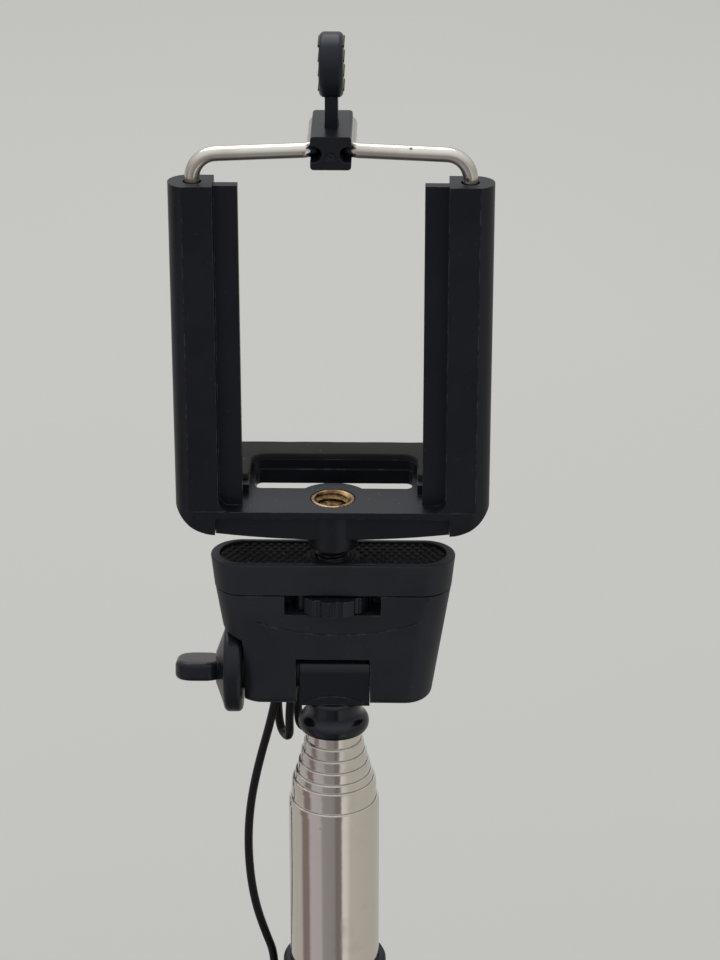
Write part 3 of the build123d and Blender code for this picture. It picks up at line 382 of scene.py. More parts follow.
@dataclass(frozen=True)
class TurnedBrass:
    """Turned brass: fine rings of the tool, darker in random patches."""

    name: str
    colour: Colour = (0.44, 0.29, 0.15)
    dark: Colour = (0.12, 0.066, 0.032)
    bright: Colour = (0.72, 0.60, 0.44)

    def make(self) -> bpy.types.Material:
        """Build the material.

        Returns:
            The material.
        """
        w = Wiring(self.name)
        rounded, edge = w.edges(0.10 * MM)
        clouds = w.grain(380.0, 4.0)
        base = w.mix(w.span(clouds, 0.40, 0.66), self.colour, self.dark)
        base = w.mix(w.maths("MULTIPLY", edge, 0.6), base, self.bright)
        rings = w.grain(1.0, 2.0, w.stretched((60.0, 60.0, 9000.0)))
        normal = w.bump(rings, 0.02 * MM, 0.3, rounded)
        rough = w.span(clouds, 0.3, 0.7, 0.20, 0.38)
        return w.finish(base_color=base, metallic=1.0, roughness=rough, normal=normal)


@dataclass(frozen=True)
class SolderMask:
    """Green board lacquer over copper tracks."""

    name: str
    colour: Colour = (0.012, 0.12, 0.05)
    shade: Colour = (0.01, 0.06, 0.03)

    def make(self) -> bpy.types.Material:
        """Build the material.

        Returns:
            The material.
        """
        w = Wiring(self.name)
        rounded, _ = w.edges(0.10 * MM)
        tracks = w.add("ShaderNodeTexBrick", {"Vector": w.place, "Scale": 420.0, "Mortar Size": 0.06})
        base = w.mix(tracks.outputs["Fac"], self.colour, tuple(1.9 * c for c in self.colour))
        base = w.mix(w.span(w.grain(300.0), 0.4, 0.7, 0.0, 0.3), base, self.shade)
        normal = w.bump(tracks.outputs["Fac"], 0.04 * MM, 0.5, rounded)
        return w.finish(base_color=base, roughness=0.35, normal=normal)


FINISHES = {
    "handle_plastic": MouldedPlastic("handle_plastic", (0.0072, 0.0079, 0.0108), roughness=0.44),
    "grip_rubber": SoftRubber("grip_rubber", (0.011, 0.011, 0.0115)),
    "tube_steel": PolishedSteel("tube_steel", (0.74, 0.71, 0.665)),
    "bush_plastic": SoftRubber("bush_plastic", (0.48, 0.46, 0.42), roughness=0.5, mottle=1.1),
    "neck_plastic": MouldedPlastic(
        "neck_plastic", (0.0042, 0.0047, 0.0070), roughness=0.20, specular=0.5, grain=0.05, dust=0.2
    ),
    "head_plastic": MouldedPlastic(
        "head_plastic", (0.0142, 0.0155, 0.0205), roughness=0.46, specular=0.38, grain=0.40, wear=1.0
    ),
    "holder_plastic": MouldedPlastic(
        "holder_plastic", (0.0072, 0.0076, 0.0108), roughness=0.38, specular=0.34, grain=0.18, wear=1.0
    ),
    "pad_rubber": SoftRubber("pad_rubber", (0.0042, 0.0043, 0.0048), roughness=0.62, texture=1800.0),
    "rim_rubber": SoftRubber("rim_rubber", (0.0150, 0.0154, 0.0143), roughness=0.82, mottle=1.35),
    "wire_nickel": PlatedMetal("wire_nickel", (0.78, 0.755, 0.70), (0.60, 0.55, 0.47)),
    "insert_brass": TurnedBrass("insert_brass"),
    "stud_black": PlatedMetal("stud_black", (0.035, 0.035, 0.040), (0.020, 0.020, 0.022), roughness=0.42),
    "screw_steel": PlatedMetal("screw_steel", (0.50, 0.50, 0.50), (0.36, 0.35, 0.34), roughness=0.3),
    "knob_plastic": MouldedPlastic(
        "knob_plastic", (0.0090, 0.0100, 0.0138), roughness=0.30, specular=0.36, grain=0.12, wear=0.8
    ),
    "lead_pvc": SoftRubber("lead_pvc", (0.0045, 0.0045, 0.0052), roughness=0.42, depth=0.1),
    "plug_plastic": MouldedPlastic("plug_plastic", (0.0068, 0.0070, 0.0080), roughness=0.45),
    "plug_metal": PlatedMetal("plug_metal", (0.72, 0.69, 0.62), (0.55, 0.50, 0.42), roughness=0.2, pits=0.3),
    "board_green": SolderMask("board_green"),
    "button_plastic": MouldedPlastic("button_plastic", (0.040, 0.040, 0.043), roughness=0.40),
    "spring_steel": PlatedMetal("spring_steel", (0.48, 0.48, 0.49), (0.34, 0.33, 0.32), roughness=0.28),
}


class Wardrobe:
    """The finishes, made once each, and what wears them."""

    def __init__(self) -> None:
        """Make every finish."""
        self.materials = {slot: finish.make() for slot, finish in FINISHES.items()}

    def dress(self, piece: bpy.types.Object, slot: str) -> None:
        """Give a new piece the finish of a slot.

        Args:
            piece: The new piece.
            slot: The slot it takes its finish from.
        """
        piece.data.materials.clear()
        piece.data.materials.append(self.materials[slot])

    def dress_frame(self) -> None:
        """Give every shown node of the frame the finish that the record names for it."""
        for part in frame["record"]["subparts"]:
            node = frame["nodes"][part["node"]]
            node.data.materials.clear()
            node.data.materials.append(self.materials[part["material_slot"]])


# ---- mesh tools ---------------------------------------------------------------------------------


def new_piece(name: str, bm: bmesh.types.BMesh, smooth: bool = True) -> bpy.types.Object:
    """Turn a finished bmesh into an object of the scene.

    Args:
        name: The piece's name.
        bm: Its mesh, which is freed.
        smooth: Whether its faces are shaded smooth.

    Returns:
        The object.
    """
    bmesh.ops.recalc_face_normals(bm, faces=bm.faces)
    mesh = bpy.data.meshes.new(name)
    for face in bm.faces:
        face.smooth = smooth
    bm.to_mesh(mesh)
    bm.free()
    piece = bpy.data.objects.new(name, mesh)
    bpy.context.scene.collection.objects.link(piece)
    return piece


def sharpen(piece: bpy.types.Object, degrees: float = 35.0) -> None:
    """Keep edges steeper than an angle crisp on a smooth piece."""
    piece.data.set_sharp_from_angle(angle=math.radians(degrees))


def surface_of_turns(rows: int, columns: int, at: Callable[[int, float], Point]) -> bmesh.types.BMesh:
    """Build a closed ring of rows round the Z axis.

    Args:
        rows: How many rows the outline has; the last joins the first.
        columns: How many steps make a turn.
        at: Gives the point for a row number and an angle.

    Returns:
        The mesh.
    """
    bm = bmesh.new()
    grid = [[bm.verts.new(at(row, FULL_TURN * c / columns)) for c in range(columns)] for row in range(rows)]
    for row in range(rows):
        below, above = grid[row], grid[(row + 1) % rows]
        for c in range(columns):
            d = (c + 1) % columns
            bm.faces.new((below[c], below[d], above[d], above[c]))
    return bm


def tube_along(points: Sequence[Vector], radius: float, sides: int) -> bmesh.types.BMesh:
    """Build a closed round tube along points, with flat ends.

    Args:
        points: The centreline.
        radius: The tube's radius.
        sides: How many sides its section has.

    Returns:
        The mesh.
    """
    bm = bmesh.new()
    across = None
    rings = []
    for i, point in enumerate(points):
        along = (points[min(i + 1, len(points) - 1)] - points[max(i - 1, 0)]).normalized()
        across = (along.orthogonal() if across is None else across - along * across.dot(along)).normalized()
        other = along.cross(across)
        spokes = [Vector(corner) for corner in circle(radius, sides)]
        rings.append([bm.verts.new(point + spoke.x * across + spoke.y * other) for spoke in spokes])
    for low, high in zip(rings, rings[1:]):
        for k in range(sides):
            m = (k + 1) % sides
            bm.faces.new((low[k], low[m], high[m], high[k]))
    bm.faces.new(rings[0])
    bm.faces.new(rings[-1])
    return bm


def slab(outer: Sequence[tuple[float, float]], holes: Sequence[Sequence[tuple[float, float]]],
         low: float, high: float) -> bmesh.types.BMesh:
    """Build a flat closed slab from an outline and holes.

    Args:
        outer: The outline's corners in X and Y.
        holes: The holes' corners.
        low: Height of the underside.
        high: Height of the top.

    Returns:
        The mesh.
    """
    bm = bmesh.new()
    for height in (low, high):
        edges = []
        for loop in (outer, *holes):
            ring = [bm.verts.new((x, y, height)) for x, y in loop]
            edges += [bm.edges.new((a, b)) for a, b in zip(ring, ring[1:] + ring[:1])]
        bmesh.ops.triangle_fill(bm, edges=edges, use_beauty=True)
    bm.verts.ensure_lookup_table()
    start, count = 0, len(bm.verts) // 2
    for loop in (outer, *holes):
        for i in range(len(loop)):
            a, b = start + i, start + (i + 1) % len(loop)
            bm.faces.new((bm.verts[a], bm.verts[b], bm.verts[b + count], bm.verts[a + count]))
        start += len(loop)
    return bm


def add_dome(bm: bmesh.types.BMesh, place: Matrix, radius: float, height: float, columns: int = 10) -> None:
    """Add a small closed dome that rises along its own Z and is sunk a little at its foot.

    Args:
        bm: The mesh that it joins.
        place: Where its foot is.
        radius: Radius of its foot.
        height: Its height.
        columns: Steps round it.
    """
    turns = [FULL_TURN * k / columns for k in range(columns)]
    levels = [(1.0, -0.35), (1.0, 0.0), (0.87, 0.5), (0.5, 0.87)]
    rings = []
    for across, up in levels:
        ring = [(radius * across * math.cos(t), radius * across * math.sin(t), height * up) for t in turns]
        rings.append([bm.verts.new(place @ Vector(point)) for point in ring])
    foot, top = (bm.verts.new(place @ Vector((0, 0, height * up))) for up in (levels[0][1], 1.0))
    for k in range(columns):
        m = (k + 1) % columns
        bm.faces.new((foot, rings[0][m], rings[0][k]))
        bm.faces.new((top, rings[-1][k], rings[-1][m]))
        for low, high in zip(rings, rings[1:]):
            bm.faces.new((low[k], low[m], high[m], high[k]))


def circle(radius: float, steps: int, x: float = 0.0, y: float = 0.0) -> list[tuple[float, float]]:
    """Corners of a circle in X and Y."""
    turns = [FULL_TURN * k / steps for k in range(steps)]
    return [(x + radius * math.cos(t), y + radius * math.sin(t)) for t in turns]


def stadium(half_long: float, half_wide: float, steps: int) -> list[tuple[float, float]]:
    """Corners of a slot shape along X: two half circles of half_wide.

    Args:
        half_long: Half the length of the slot shape.
        half_wide: Radius of its ends.
        steps: Pieces round each end.

    Returns:
        The corners, in order.
    """
    straight = half_long - half_wide
    arcs = []
    for side in (1, -1):
        start = -math.pi / 2 if side > 0 else math.pi / 2
        for k in range(steps + 1):
            turn = start + math.pi * k / steps
            arcs.append((side * straight + half_wide * math.cos(turn), half_wide * math.sin(turn)))
    return arcs


# ---- camera and studio --------------------------------------------------------------------------


@dataclass
class Viewpoint:
    """The camera: a long lens that looks down at the stick's upper half."""

    distance: float = 0.485
    height: float = 0.437
    side_degrees: float = 1.5
    turn_degrees: float = 0.93
    down_degrees: float = 24.25
    lens: float = 112.5

    def build(self) -> None:
        """Make the camera and set it as the scene's own."""
        data = bpy.data.cameras.new("camera")
        data.lens = self.lens
        data.sensor_width = 36.0
        data.clip_start = 0.01
        camera = bpy.data.objects.new("camera", data)
        side = math.radians(self.side_degrees)
        camera.location = (self.distance * math.sin(side), -self.distance * math.cos(side), self.height)
        camera.rotation_euler = (math.radians(90 - self.down_degrees), 0.0, math.radians(self.turn_degrees))
        bpy.context.scene.collection.objects.link(camera)
        bpy.context.scene.camera = camera


@dataclass
class Studio:
    """A plain pale floor under soft light, in a room that the bright parts mirror."""

    floor_size: float = 12.0
    floor_colour: Colour = (0.572, 0.570, 0.556)
    lamp_size: float = 1.1
    lamp_power: float = 6.0
    lamp_place: Point = (-0.20, 0.62, 1.30)
    lamp_aim: Point = (0.0, 0.35, 0.1)
    ceiling: Colour = (0.92, 0.92, 0.90)
    horizon: Colour = (0.36, 0.36, 0.355)
    foot: tuple[float, float, float] = (-0.92, -0.66, 0.22)
    rise: tuple[float, float] = (-0.10, 0.06)
    room: tuple[tuple[float, Colour], ...] = (
        (-180.0, (0.47, 0.45, 0.43)),
        (-93.0, (0.47, 0.445, 0.425)),
        (-86.0, (0.24, 0.175, 0.170)),
        (-69.0, (0.24, 0.180, 0.175)),
        (-62.0, (0.47, 0.44, 0.455)),
        (-34.0, (0.45, 0.425, 0.435)),
        (-28.0, (0.31, 0.290, 0.290)),
        (1.0, (0.28, 0.260, 0.260)),
        (6.0, (0.19, 0.170, 0.165)),
        (19.0, (0.20, 0.180, 0.170)),
        (23.0, (0.75, 0.71, 0.67)),
        (34.0, (0.68, 0.65, 0.60)),
        (44.0, (0.52, 0.50, 0.455)),
        (95.0, (0.48, 0.46, 0.415)),
        (180.0, (0.47, 0.45, 0.42)),
    )

    def build(self) -> None:
        """Make the floor, the lamp and the room."""
        self.lay_floor()
        self.hang_lamp()
        self.paint_room()

    def lay_floor(self) -> None:
        """Lay the floor under the stick."""
        bm = bmesh.new()
        bmesh.ops.create_grid(bm, x_segments=8, y_segments=8, size=self.floor_size / 2)
        floor = new_piece("floor", bm, smooth=False)
        w = Wiring("floor_paint")
        tone = w.span(w.grain(1.1, 3.0), 0.3, 0.7)
        base = w.mix(tone, tuple(0.97 * c for c in self.floor_colour), self.floor_colour)
        normal = w.bump(w.grain(60.0, 4.0), 0.4 * MM, 0.12, w.add("ShaderNodeNewGeometry").outputs["Normal"])
        paint = w.finish(base_color=base, roughness=0.9, normal=normal, specular_ior_level=0.1)
        floor.data.materials.append(paint)
        floor.visible_glossy = False

    def hang_lamp(self) -> None:
        """Hang one large soft lamp above."""
        data = bpy.data.lights.new("soft_lamp", "AREA")
        data.energy = self.lamp_power
        data.size = self.lamp_size
        lamp = bpy.data.objects.new("soft_lamp", data)
        lamp.location = self.lamp_place
        aim = Vector(self.lamp_aim) - Vector(self.lamp_place)
        lamp.rotation_euler = aim.to_track_quat("-Z", "Y").to_euler()
        bpy.context.scene.collection.objects.link(lamp)

    def paint_room(self) -> None:
        """Paint the room: pale above, and soft upright bands round the lower half."""
        world = bpy.data.worlds.new("room")
        world.use_nodes = True
        bpy.context.scene.world = world
        nodes, links = world.node_tree.nodes, world.node_tree.links
        split = nodes.new("ShaderNodeSeparateXYZ")
        links.new(nodes.new("ShaderNodeTexCoord").outputs["Generated"], split.inputs[0])
        flip = nodes.new("ShaderNodeMath")
        flip.operation = "MULTIPLY"
        flip.inputs[1].default_value = -1.0
        links.new(split.outputs[1], flip.inputs[0])
        heading = nodes.new("ShaderNodeMath")
        heading.operation = "ARCTAN2"
        links.new(split.outputs[0], heading.inputs[0])
        links.new(flip.outputs[0], heading.inputs[1])
        share = nodes.new("ShaderNodeMapRange")
        share.inputs["From Min"].default_value = -math.pi
        share.inputs["From Max"].default_value = math.pi
        links.new(heading.outputs[0], share.inputs["Value"])
        bands = nodes.new("ShaderNodeValToRGB")
        stops = bands.color_ramp.elements
        while len(stops) > 1:
            stops.remove(stops[0])
        for number, (degrees, colour) in enumerate(self.room):
            stop = stops[0] if number == 0 else stops.new(degrees / 360.0 + 0.5)
            stop.position = degrees / 360.0 + 0.5
            stop.color = (*colour, 1.0)
        links.new(share.outputs[0], bands.inputs[0])
        upper = nodes.new("ShaderNodeValToRGB")
        upper.color_ramp.elements[0].color = (*self.horizon, 1.0)
        upper.color_ramp.elements[1].color = (*self.ceiling, 1.0)
        links.new(split.outputs[2], upper.inputs[0])
        foot = nodes.new("ShaderNodeMapRange")
        for key, value in zip(("From Min", "From Max", "To Min"), self.foot):
            foot.inputs[key].default_value = value
        links.new(split.outputs[2], foot.inputs["Value"])
        sunk = nodes.new("ShaderNodeVectorMath")
        sunk.operation = "SCALE"
        links.new(bands.outputs[0], sunk.inputs[0])
        links.new(foot.outputs[0], sunk.inputs["Scale"])
        rise = nodes.new("ShaderNodeMapRange")
        rise.inputs["From Min"].default_value, rise.inputs["From Max"].default_value = self.rise
        links.new(split.outputs[2], rise.inputs["Value"])
        whole = nodes.new("ShaderNodeMix")
        whole.data_type = "RGBA"
        links.new(rise.outputs[0], whole.inputs[0])
        links.new(sunk.outputs[0], whole.inputs[6])
        links.new(upper.outputs[0], whole.inputs[7])
        seen = nodes.new("ShaderNodeMix")
        seen.data_type = "RGBA"
        links.new(nodes.new("ShaderNodeLightPath").outputs["Is Camera Ray"], seen.inputs[0])
        links.new(whole.outputs[2], seen.inputs[6])
        seen.inputs[7].default_value = (*self.horizon, 1.0)
        links.new(seen.outputs[2], nodes["Background"].inputs["Color"])


# ---- external lead ------------------------------------------------------------------------------


@dataclass
class SlackLead:
    """The thin lead: out of the neck, twice up and down behind it, and in a bow to its stowed plug."""

    length: float = 0.1159
    diameter: float = 1.6 * MM
    route: tuple[Point, ...] = (
        (0.0, 0.0082, 0.1719),
        (0.0, 0.0109, 0.1719),
        (-0.0015, 0.0120, 0.1676),
        (-0.0029, 0.0113, 0.1629),
        (-0.0067, 0.0105, 0.1624),
        (-0.0071, 0.0109, 0.1673),
        (-0.0070, 0.0114, 0.1724),
        (-0.0080, 0.0074, 0.1726),
        (-0.0085, 0.0070, 0.1671),
        (-0.0084, 0.0072, 0.1621),
        (-0.0103, 0.0112, 0.1617),
        (-0.0108, 0.0110, 0.1670),
        (-0.0107, 0.0114, 0.1724),
        (-0.0106, 0.0072, 0.1725),
        (-0.0121, 0.0069, 0.1654),
        (-0.0142, 0.0072, 0.1574),
        (-0.0159, 0.0073, 0.1490),
        (-0.0166, 0.0072, 0.1408),
        (-0.0163, 0.0071, 0.1326),
        (-0.0153, 0.0072, 0.1256),
        (-0.0135, 0.0073, 0.1193),
        (-0.0119, 0.0072, 0.1148),
        (-0.0119, 0.0072, 0.1115),
    )

    def build(self, wardrobe: Wardrobe) -> None:
        """Lay the lead along its route.

        Args:
            wardrobe: Holds the lead's finish.
        """
        data = bpy.data.curves.new("lead_jacket", "CURVE")
        data.dimensions = "3D"
        data.bevel_depth = self.diameter / 2
        data.bevel_resolution = 5
        data.resolution_u = 8
        data.use_fill_caps = True
        spline = data.splines.new("NURBS")
        spline.points.add(len(self.route) - 1)
        for knot, place in zip(spline.points, self.route):
            knot.co = (*place, 1.0)
        spline.order_u = 3
        spline.use_endpoint_u = True
        lead = bpy.data.objects.new("lead_jacket", data)
        bpy.context.scene.collection.objects.link(lead)
        wardrobe.dress(lead, "lead_pvc")
        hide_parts("lead")
        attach(lead, Body.TOP_SECTION.value)


# ---- coiled lead in the tubes -------------------------------------------------------------------


@dataclass
class TubeStack:
    """The coiled lead inside the innermost of the nested tubes."""

    coil_wire: float = 0.45 * MM
    coil_pitch: float = 1.2 * MM
    coil_steps: int = 14
    coil_sides: int = 6

    def build(self, wardrobe: Wardrobe) -> None:
        """Wind the coiled lead.

        Args:
            wardrobe: Holds the finishes.
        """
        low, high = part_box("coiled_lead")
        radius = high.x - self.coil_wire
        turns = (high.z - low.z - 2 * self.coil_wire) / self.coil_pitch
        count = int(turns * self.coil_steps)
        points = []
        for k in range(count + 1):
            angle = FULL_TURN * k / self.coil_steps
            rise = low.z + self.coil_wire + self.coil_pitch * k / self.coil_steps
            points.append(Vector((radius * math.cos(angle), radius * math.sin(angle), rise)))
        coil = new_piece("coiled_lead_turns", tube_along(points, self.coil_wire, self.coil_sides))
        wardrobe.dress(coil, "lead_pvc")
        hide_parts("coiled_lead")
        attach(coil, Body.TOP_SECTION.value)


# ---- handle -------------------------------------------------------------------------------------


@dataclass
class GripSleeve:
    """The rubber sleeve of the handle: a slight barrel with ring grooves and rows of pips."""

    columns: int = 96
    rows: int = 150
    grooves: int = 9
    groove_depth: float = 0.6 * MM
    groove_half: float = 0.8 * MM
    swell: float = 0.5 * MM
    pip_rows: int = 8
    pips: int = 26
    pip_radius: float = 0.75 * MM
    pip_height: float = 0.42 * MM
    end_run: float = 0.9 * MM
    end_drop: float = 0.6 * MM

    def build(self, wardrobe: Wardrobe) -> None:
        """Mould the sleeve with its pips.

        Args:
            wardrobe: Holds the finishes.
        """
        low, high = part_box("grip_sleeve")
        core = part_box("grip_core")[1].x + 0.03 * MM
        outer = high.x - self.pip_height
        spacing = (high.z - low.z) / (self.grooves + 1)

        def skin(height: float) -> float:
            """Outer radius at a height.

            Args:
                height: Height on the sleeve.

            Returns:
                The radius there.
            """
            share = (height - low.z) / (high.z - low.z)
            radius = outer - self.swell * (2 * share - 1) ** 2
            nearest = round((height - low.z) / spacing)
            if 0 < nearest <= self.grooves:
                off = (height - low.z - nearest * spacing) / self.groove_half
                radius -= self.groove_depth * math.exp(-off * off)
            end = min(height - low.z, high.z - height) / self.end_run
            return radius - self.end_drop * (1 - min(end, 1.0)) ** 2

        def at(row: int, angle: float) -> Point:
            """A point of the sleeve.

            Args:
                row: Row of the surface, counted upward.
                angle: Angle round it.

            Returns:
                The point.
            """
            if row >= self.rows:
                radius, height = core, high.z if row == self.rows else low.z
            else:
                height = low.z + (high.z - low.z) * row / (self.rows - 1)
                radius = skin(height)
            return (radius * math.cos(angle), radius * math.sin(angle), height)

        bm = surface_of_turns(self.rows + 2, self.columns, at)
        for row in range(self.pip_rows):
            height = low.z + (row + 1.5) * spacing
            for k in range(self.pips):
                angle = FULL_TURN * (k + 0.5 * (row % 2)) / self.pips
                radius = skin(height)
                place = Matrix.Translation((radius * math.cos(angle), radius * math.sin(angle), height))
                outward = Matrix.Rotation(angle, 4, "Z") @ Matrix.Rotation(math.pi / 2, 4, "Y")
                add_dome(bm, place @ outward, self.pip_radius, self.pip_height)
        sleeve = new_piece("grip_rubber_sleeve", bm)
        wardrobe.dress(sleeve, "grip_rubber")
        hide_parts("grip_sleeve")
        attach(sleeve, Body.HANDLE.value)


# ---- tilt head ----------------------------------------------------------------------------------


@dataclass
class HeadPad:
    """The rubber pad on the head, covered in small round bumps."""

    pitch: float = 1.5 * MM
    bump_radius: float = 0.58 * MM
    bump_height: float = 0.40 * MM
    base_drop: float = 0.25 * MM

    def build(self, wardrobe: Wardrobe) -> None:
        """Mould the pad.

        Args:
            wardrobe: Holds the finishes.
        """
        low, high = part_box("head_pad")
        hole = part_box("stud_collar")[1].x + 0.1 * MM
        floor = high.z - self.base_drop
        bm = slab(stadium(high.x, high.y, 24), [circle(hole, 40)], low.z, floor)
        row_step = self.pitch * math.sqrt(3) / 2
        rows = int(high.y / row_step)
        columns = int(high.x / self.pitch) + 1
        straight = high.x - high.y
        for row in range(-rows, rows + 1):
            for column in range(-columns, columns + 1):
                x = self.pitch * (column + 0.5 * (row % 2))
                y = row_step * row
                from_rim = high.y - math.hypot(max(abs(x) - straight, 0.0), y)
                if from_rim < self.bump_radius or math.hypot(x, y) < hole + self.bump_radius:
                    continue
                add_dome(bm, Matrix.Translation((x, y, floor)), self.bump_radius, self.bump_height, 8)
        pad = new_piece("head_pad_bumps", bm)
        sharpen(pad)
        wardrobe.dress(pad, "pad_rubber")
        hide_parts("head_pad")
        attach(pad, Body.HEAD.value)


@dataclass
class Thread:
    """A 1/4-20 thread as a radius that follows the turn."""

    pitch: float = 1.27 * MM
    depth: float = 0.5 * MM

    def dip(self, height: float, angle: float) -> float:
        """How far below the crest the surface lies, from 0 to depth.

        Args:
            height: Height on the thread.
            angle: Angle round it.

        Returns:
            The depth there.
        """
        share = (height / self.pitch - angle / FULL_TURN) % 1.0
        flank = abs(2 * share - 1)
        return self.depth * min(max((flank - 0.12) / 0.76, 0.0), 1.0)


@dataclass
class MountStud:
    """The threaded stud that the lock wheel drives."""

    thread: Thread = field(default_factory=Thread)
    columns: int = 48
    steps: int = 90
    middle: float = 0.02 * MM
    tip_drop: float = 0.6 * MM

    def build(self, wardrobe: Wardrobe) -> None:
        """Cut the stud.

        Args:
            wardrobe: Holds the finishes.
        """
        low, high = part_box("mount_stud")
        wheel_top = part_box("lock_wheel")[1].z
        neck = high.x - 0.35 * MM
        start = wheel_top + 0.4 * MM

        def at(row: int, angle: float) -> Point:
            """A point of the stud.

            Args:
                row: Row of the surface, counted upward.
                angle: Angle round it.

            Returns:
                The point.
            """
            if row == 0:
                return (self.middle * math.cos(angle), self.middle * math.sin(angle), low.z)
            if row <= 2:
                height = low.z if row == 1 else start
                return (neck * math.cos(angle), neck * math.sin(angle), height)
            if row == self.steps + 3:
                return (self.middle * math.cos(angle), self.middle * math.sin(angle), high.z)
            height = start + (high.z - start) * (row - 3) / (self.steps - 1)
            radius = high.x - self.thread.dip(height, angle)
            radius = min(radius, high.x - self.tip_drop + (high.z - height))
            return (radius * math.cos(angle), radius * math.sin(angle), height)

        stud = new_piece("stud_thread", surface_of_turns(self.steps + 4, self.columns, at))
        sharpen(stud)
        wardrobe.dress(stud, "stud_black")
        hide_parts("mount_stud")
        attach(stud, Body.LOCK_WHEEL.value)


# ---- phone holder -------------------------------------------------------------------------------


@dataclass
class ThreadInsert:
    """The brass insert of the holder: a knurled rim, a bright chamfer and a real thread."""

    thread: Thread = field(default_factory=Thread)
    knurls: int = 32
    knurl_depth: float = 0.16 * MM
    columns: int = 192
    steps: int = 44
    mouth: float = 3.25 * MM
    crest: float = 2.62 * MM

    def build(self, wardrobe: Wardrobe) -> None:
        """Turn the insert.

        Args:
            wardrobe: Holds the finishes.
        """
        low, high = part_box("thread_insert")
        stud_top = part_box("mount_stud")[1].z
        outer = 4.0 * MM
        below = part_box("mount_stud")[1].x + 0.1 * MM
        thread_low = stud_top + 0.4 * MM
        thread_high = high.z - 0.45 * MM
        collar = [
            (outer, low.z + 0.3 * MM, True),
            (outer, high.z - 0.25 * MM, True),
            (outer - 0.12 * MM, high.z - 0.06 * MM, True),
            (outer - 0.45 * MM, high.z, False),
            (self.mouth + 0.08 * MM, high.z, False),
            (self.mouth, high.z - 0.04 * MM, False),
        ]
        rows = len(collar) + self.steps + 2

        def at(row: int, angle: float) -> Point:
            """A point of the insert.

            Args:
                row: Row of the surface, counted upward.
                angle: Angle round it.

            Returns:
                The point.
            """
            if row < len(collar):
                radius, height, knurled = collar[row]
                if knurled:
                    radius -= self.knurl_depth * (0.5 + 0.5 * math.cos(self.knurls * angle))
            elif row < len(collar) + self.steps:
                height = thread_high - (thread_high - thread_low) * (row - len(collar)) / (self.steps - 1)
                radius = self.crest + self.thread.depth - self.thread.dip(height, angle)
                radius = max(radius, self.mouth - 0.05 * MM - (high.z - height) * 1.1)
            else:
                radius = below if row == len(collar) + self.steps else outer - 0.4 * MM
                height = thread_low - 0.1 * MM if row == len(collar) + self.steps else low.z
            return (radius * math.cos(angle), radius * math.sin(angle), height)

        insert = new_piece("insert_thread", surface_of_turns(rows, self.columns, at))
        sharpen(insert)
        wardrobe.dress(insert, "insert_brass")
        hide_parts("thread_insert")
        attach(insert, Body.HOLDER.value)


@dataclass
class RimPad:
    """The soft pad glued on the holder's rear rim, with an uneven hand-cut edge."""

    inner_half: float = 15.1 * MM
    inner_back: float = 12.8 * MM
    corner: float = 2.9 * MM
    toe: float = 0.8 * MM
    wave: float = 0.22 * MM
    wave_scale: float = 230.0
    corner_steps: int = 10
    run_step: float = 1.0 * MM

    def corner_arc(
        self, x: float, y: float, radius: float, start: float, sweep: float
    ) -> list[tuple[float, float]]:
        """Points of a corner.

        Args:
            x: Centre in X.
            y: Centre in Y.
            radius: The corner's radius.
            start: First angle in degrees.
            sweep: Angle turned in degrees.

        Returns:
            The points.
        """
        turns = [math.radians(start + sweep * k / self.corner_steps) for k in range(self.corner_steps + 1)]
        return [(x + radius * math.cos(t), y + radius * math.sin(t)) for t in turns]

    def outline(self, low: Vector, high: Vector) -> list[tuple[float, float]]:
        """The U-shaped outline, divided finely enough to be waved.

        Args:
            low: Lower corner of the part's box.
            high: Upper corner of the part's box.

        Returns:
            The points of the outline, in order.
        """
        r = self.corner
        toe = self.toe
        front = low.y + toe
        corners = self.corner_arc(high.x - r, high.y - r, r, 0, 90)
        corners += self.corner_arc(low.x + r, high.y - r, r, 90, 90)
        corners += self.corner_arc(low.x + toe, front, toe, 180, 90)
        corners += self.corner_arc(-self.inner_half - toe, front, toe, 270, 90)
        corners += self.corner_arc(-self.inner_half + r, self.inner_back - r, r, 180, -90)
        corners += self.corner_arc(self.inner_half - r, self.inner_back - r, r, 90, -90)
        corners += self.corner_arc(self.inner_half + toe, front, toe, 180, 90)
        corners += self.corner_arc(high.x - toe, front, toe, 270, 90)
        points = []
        for a, b in zip(corners, corners[1:] + corners[:1]):
            pieces = max(1, int(math.dist(a, b) / self.run_step))
            run_x, run_y = b[0] - a[0], b[1] - a[1]
            points += [(a[0] + run_x * k / pieces, a[1] + run_y * k / pieces) for k in range(pieces)]
        return points

    def build(self, wardrobe: Wardrobe) -> None:
        """Cut the pad.

        Args:
            wardrobe: Holds the finishes.
        """
        low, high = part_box("rim_pad")
        waved = []
        for x, y in self.outline(low, high):
            shift = noise.noise_vector(Vector((x, y, 0.31)) * self.wave_scale)
            across = min(max(x + self.wave * shift.x, low.x), high.x)
            waved.append((across, min(y + self.wave * shift.y, high.y)))
        bm = slab(waved, [], low.z, high.z)
        bmesh.ops.recalc_face_normals(bm, faces=bm.faces)
        level = [e for e in bm.edges if all(v.co.z > high.z - 1e-6 for v in e.verts)]
        top = [e for e in level if e.calc_face_angle(0.0) > 1.0]
        bmesh.ops.bevel(bm, geom=top, offset=0.28 * MM, segments=3, affect="EDGES", profile=0.5)
        pad = new_piece("rim_pad_strip", bm)
        sharpen(pad, 50.0)
        wardrobe.dress(pad, "rim_rubber")
        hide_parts("rim_pad")
        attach(pad, Body.HOLDER.value)


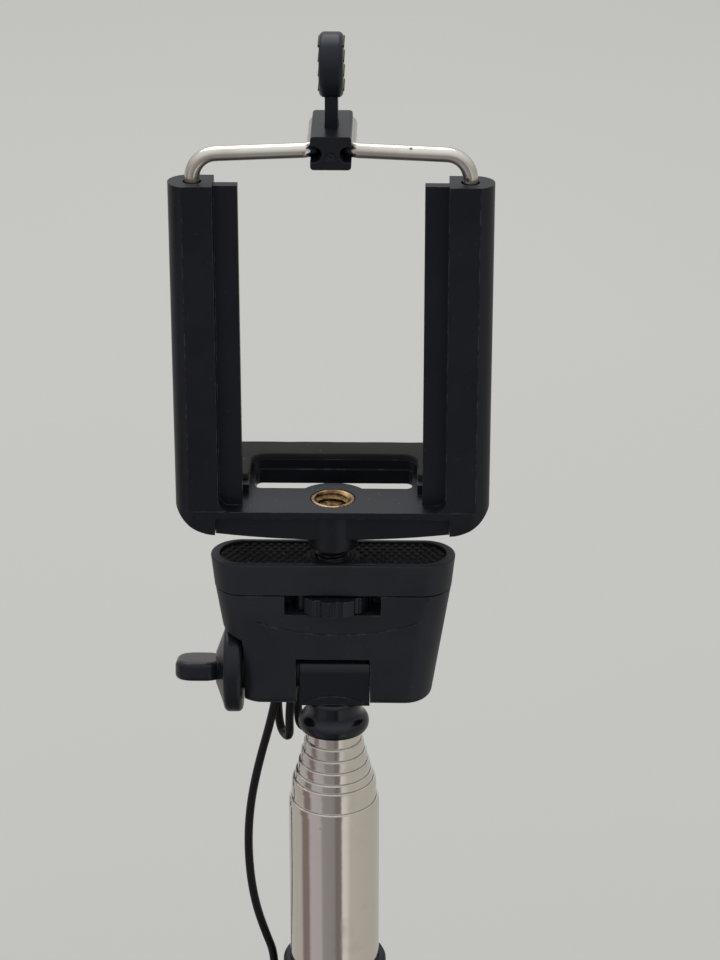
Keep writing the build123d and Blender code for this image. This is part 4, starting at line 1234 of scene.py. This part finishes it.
@dataclass
class BailSprings:
    """The two compression springs inside the holder's arms."""

    wire: float = 0.32 * MM
    turns: float = 22.0
    closed_turns: float = 1.5
    steps: int = 16
    sides: int = 8
    travel: float = 22.0 * MM

    def build(self, wardrobe: Wardrobe) -> None:
        """Wind both springs.

        Args:
            wardrobe: Holds the finishes.
        """
        for side in Side:
            self.wind(side, wardrobe)

    def wind(self, side: Side, wardrobe: Wardrobe) -> None:
        """Wind one spring.

        Args:
            side: Which arm it is in.
            wardrobe: Holds the finishes.
        """
        node = f"spring_{side.name.lower()}"
        low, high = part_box(node)
        centre = (low + high) / 2
        radius = (high.x - low.x) / 2 - self.wire
        bottom, top = low.z + self.wire, high.z - self.wire
        closed = self.closed_turns * 2.1 * self.wire
        points = []
        for k in range(int(self.turns * self.steps) + 1):
            turn = k / self.steps
            angle = FULL_TURN * turn
            if turn < self.closed_turns:
                height = bottom + closed * turn / self.closed_turns
            elif turn > self.turns - self.closed_turns:
                height = top - closed * (self.turns - turn) / self.closed_turns
            else:
                share = (turn - self.closed_turns) / (self.turns - 2 * self.closed_turns)
                height = bottom + closed + (top - bottom - 2 * closed) * share
            x = centre.x + radius * math.cos(angle)
            y = centre.y + radius * math.sin(angle)
            points.append(Vector((x, y, height)))
        spring = new_piece(f"{node}_coil", tube_along(points, self.wire, self.sides))
        wardrobe.dress(spring, "spring_steel")
        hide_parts(node)
        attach(spring, Body.HOLDER.value)
        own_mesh(spring)


def main() -> None:
    """Build the looks in order."""
    logging.basicConfig(level=logging.INFO, format="%(message)s")
    bpy.context.scene.view_settings.view_transform = "Standard"
    Viewpoint().build()
    wardrobe = Wardrobe()
    makers = (
        SlackLead(), TubeStack(), GripSleeve(), HeadPad(),
        MountStud(), ThreadInsert(), RimPad(), BailSprings(),
    )
    for maker in makers:
        maker.build(wardrobe)
        log.info("made %s", type(maker).__name__)
    wardrobe.dress_frame()
    log.info("dressed %d nodes", len(frame["nodes"]))
    Studio().build()


if __name__ == "__main__":
    main()
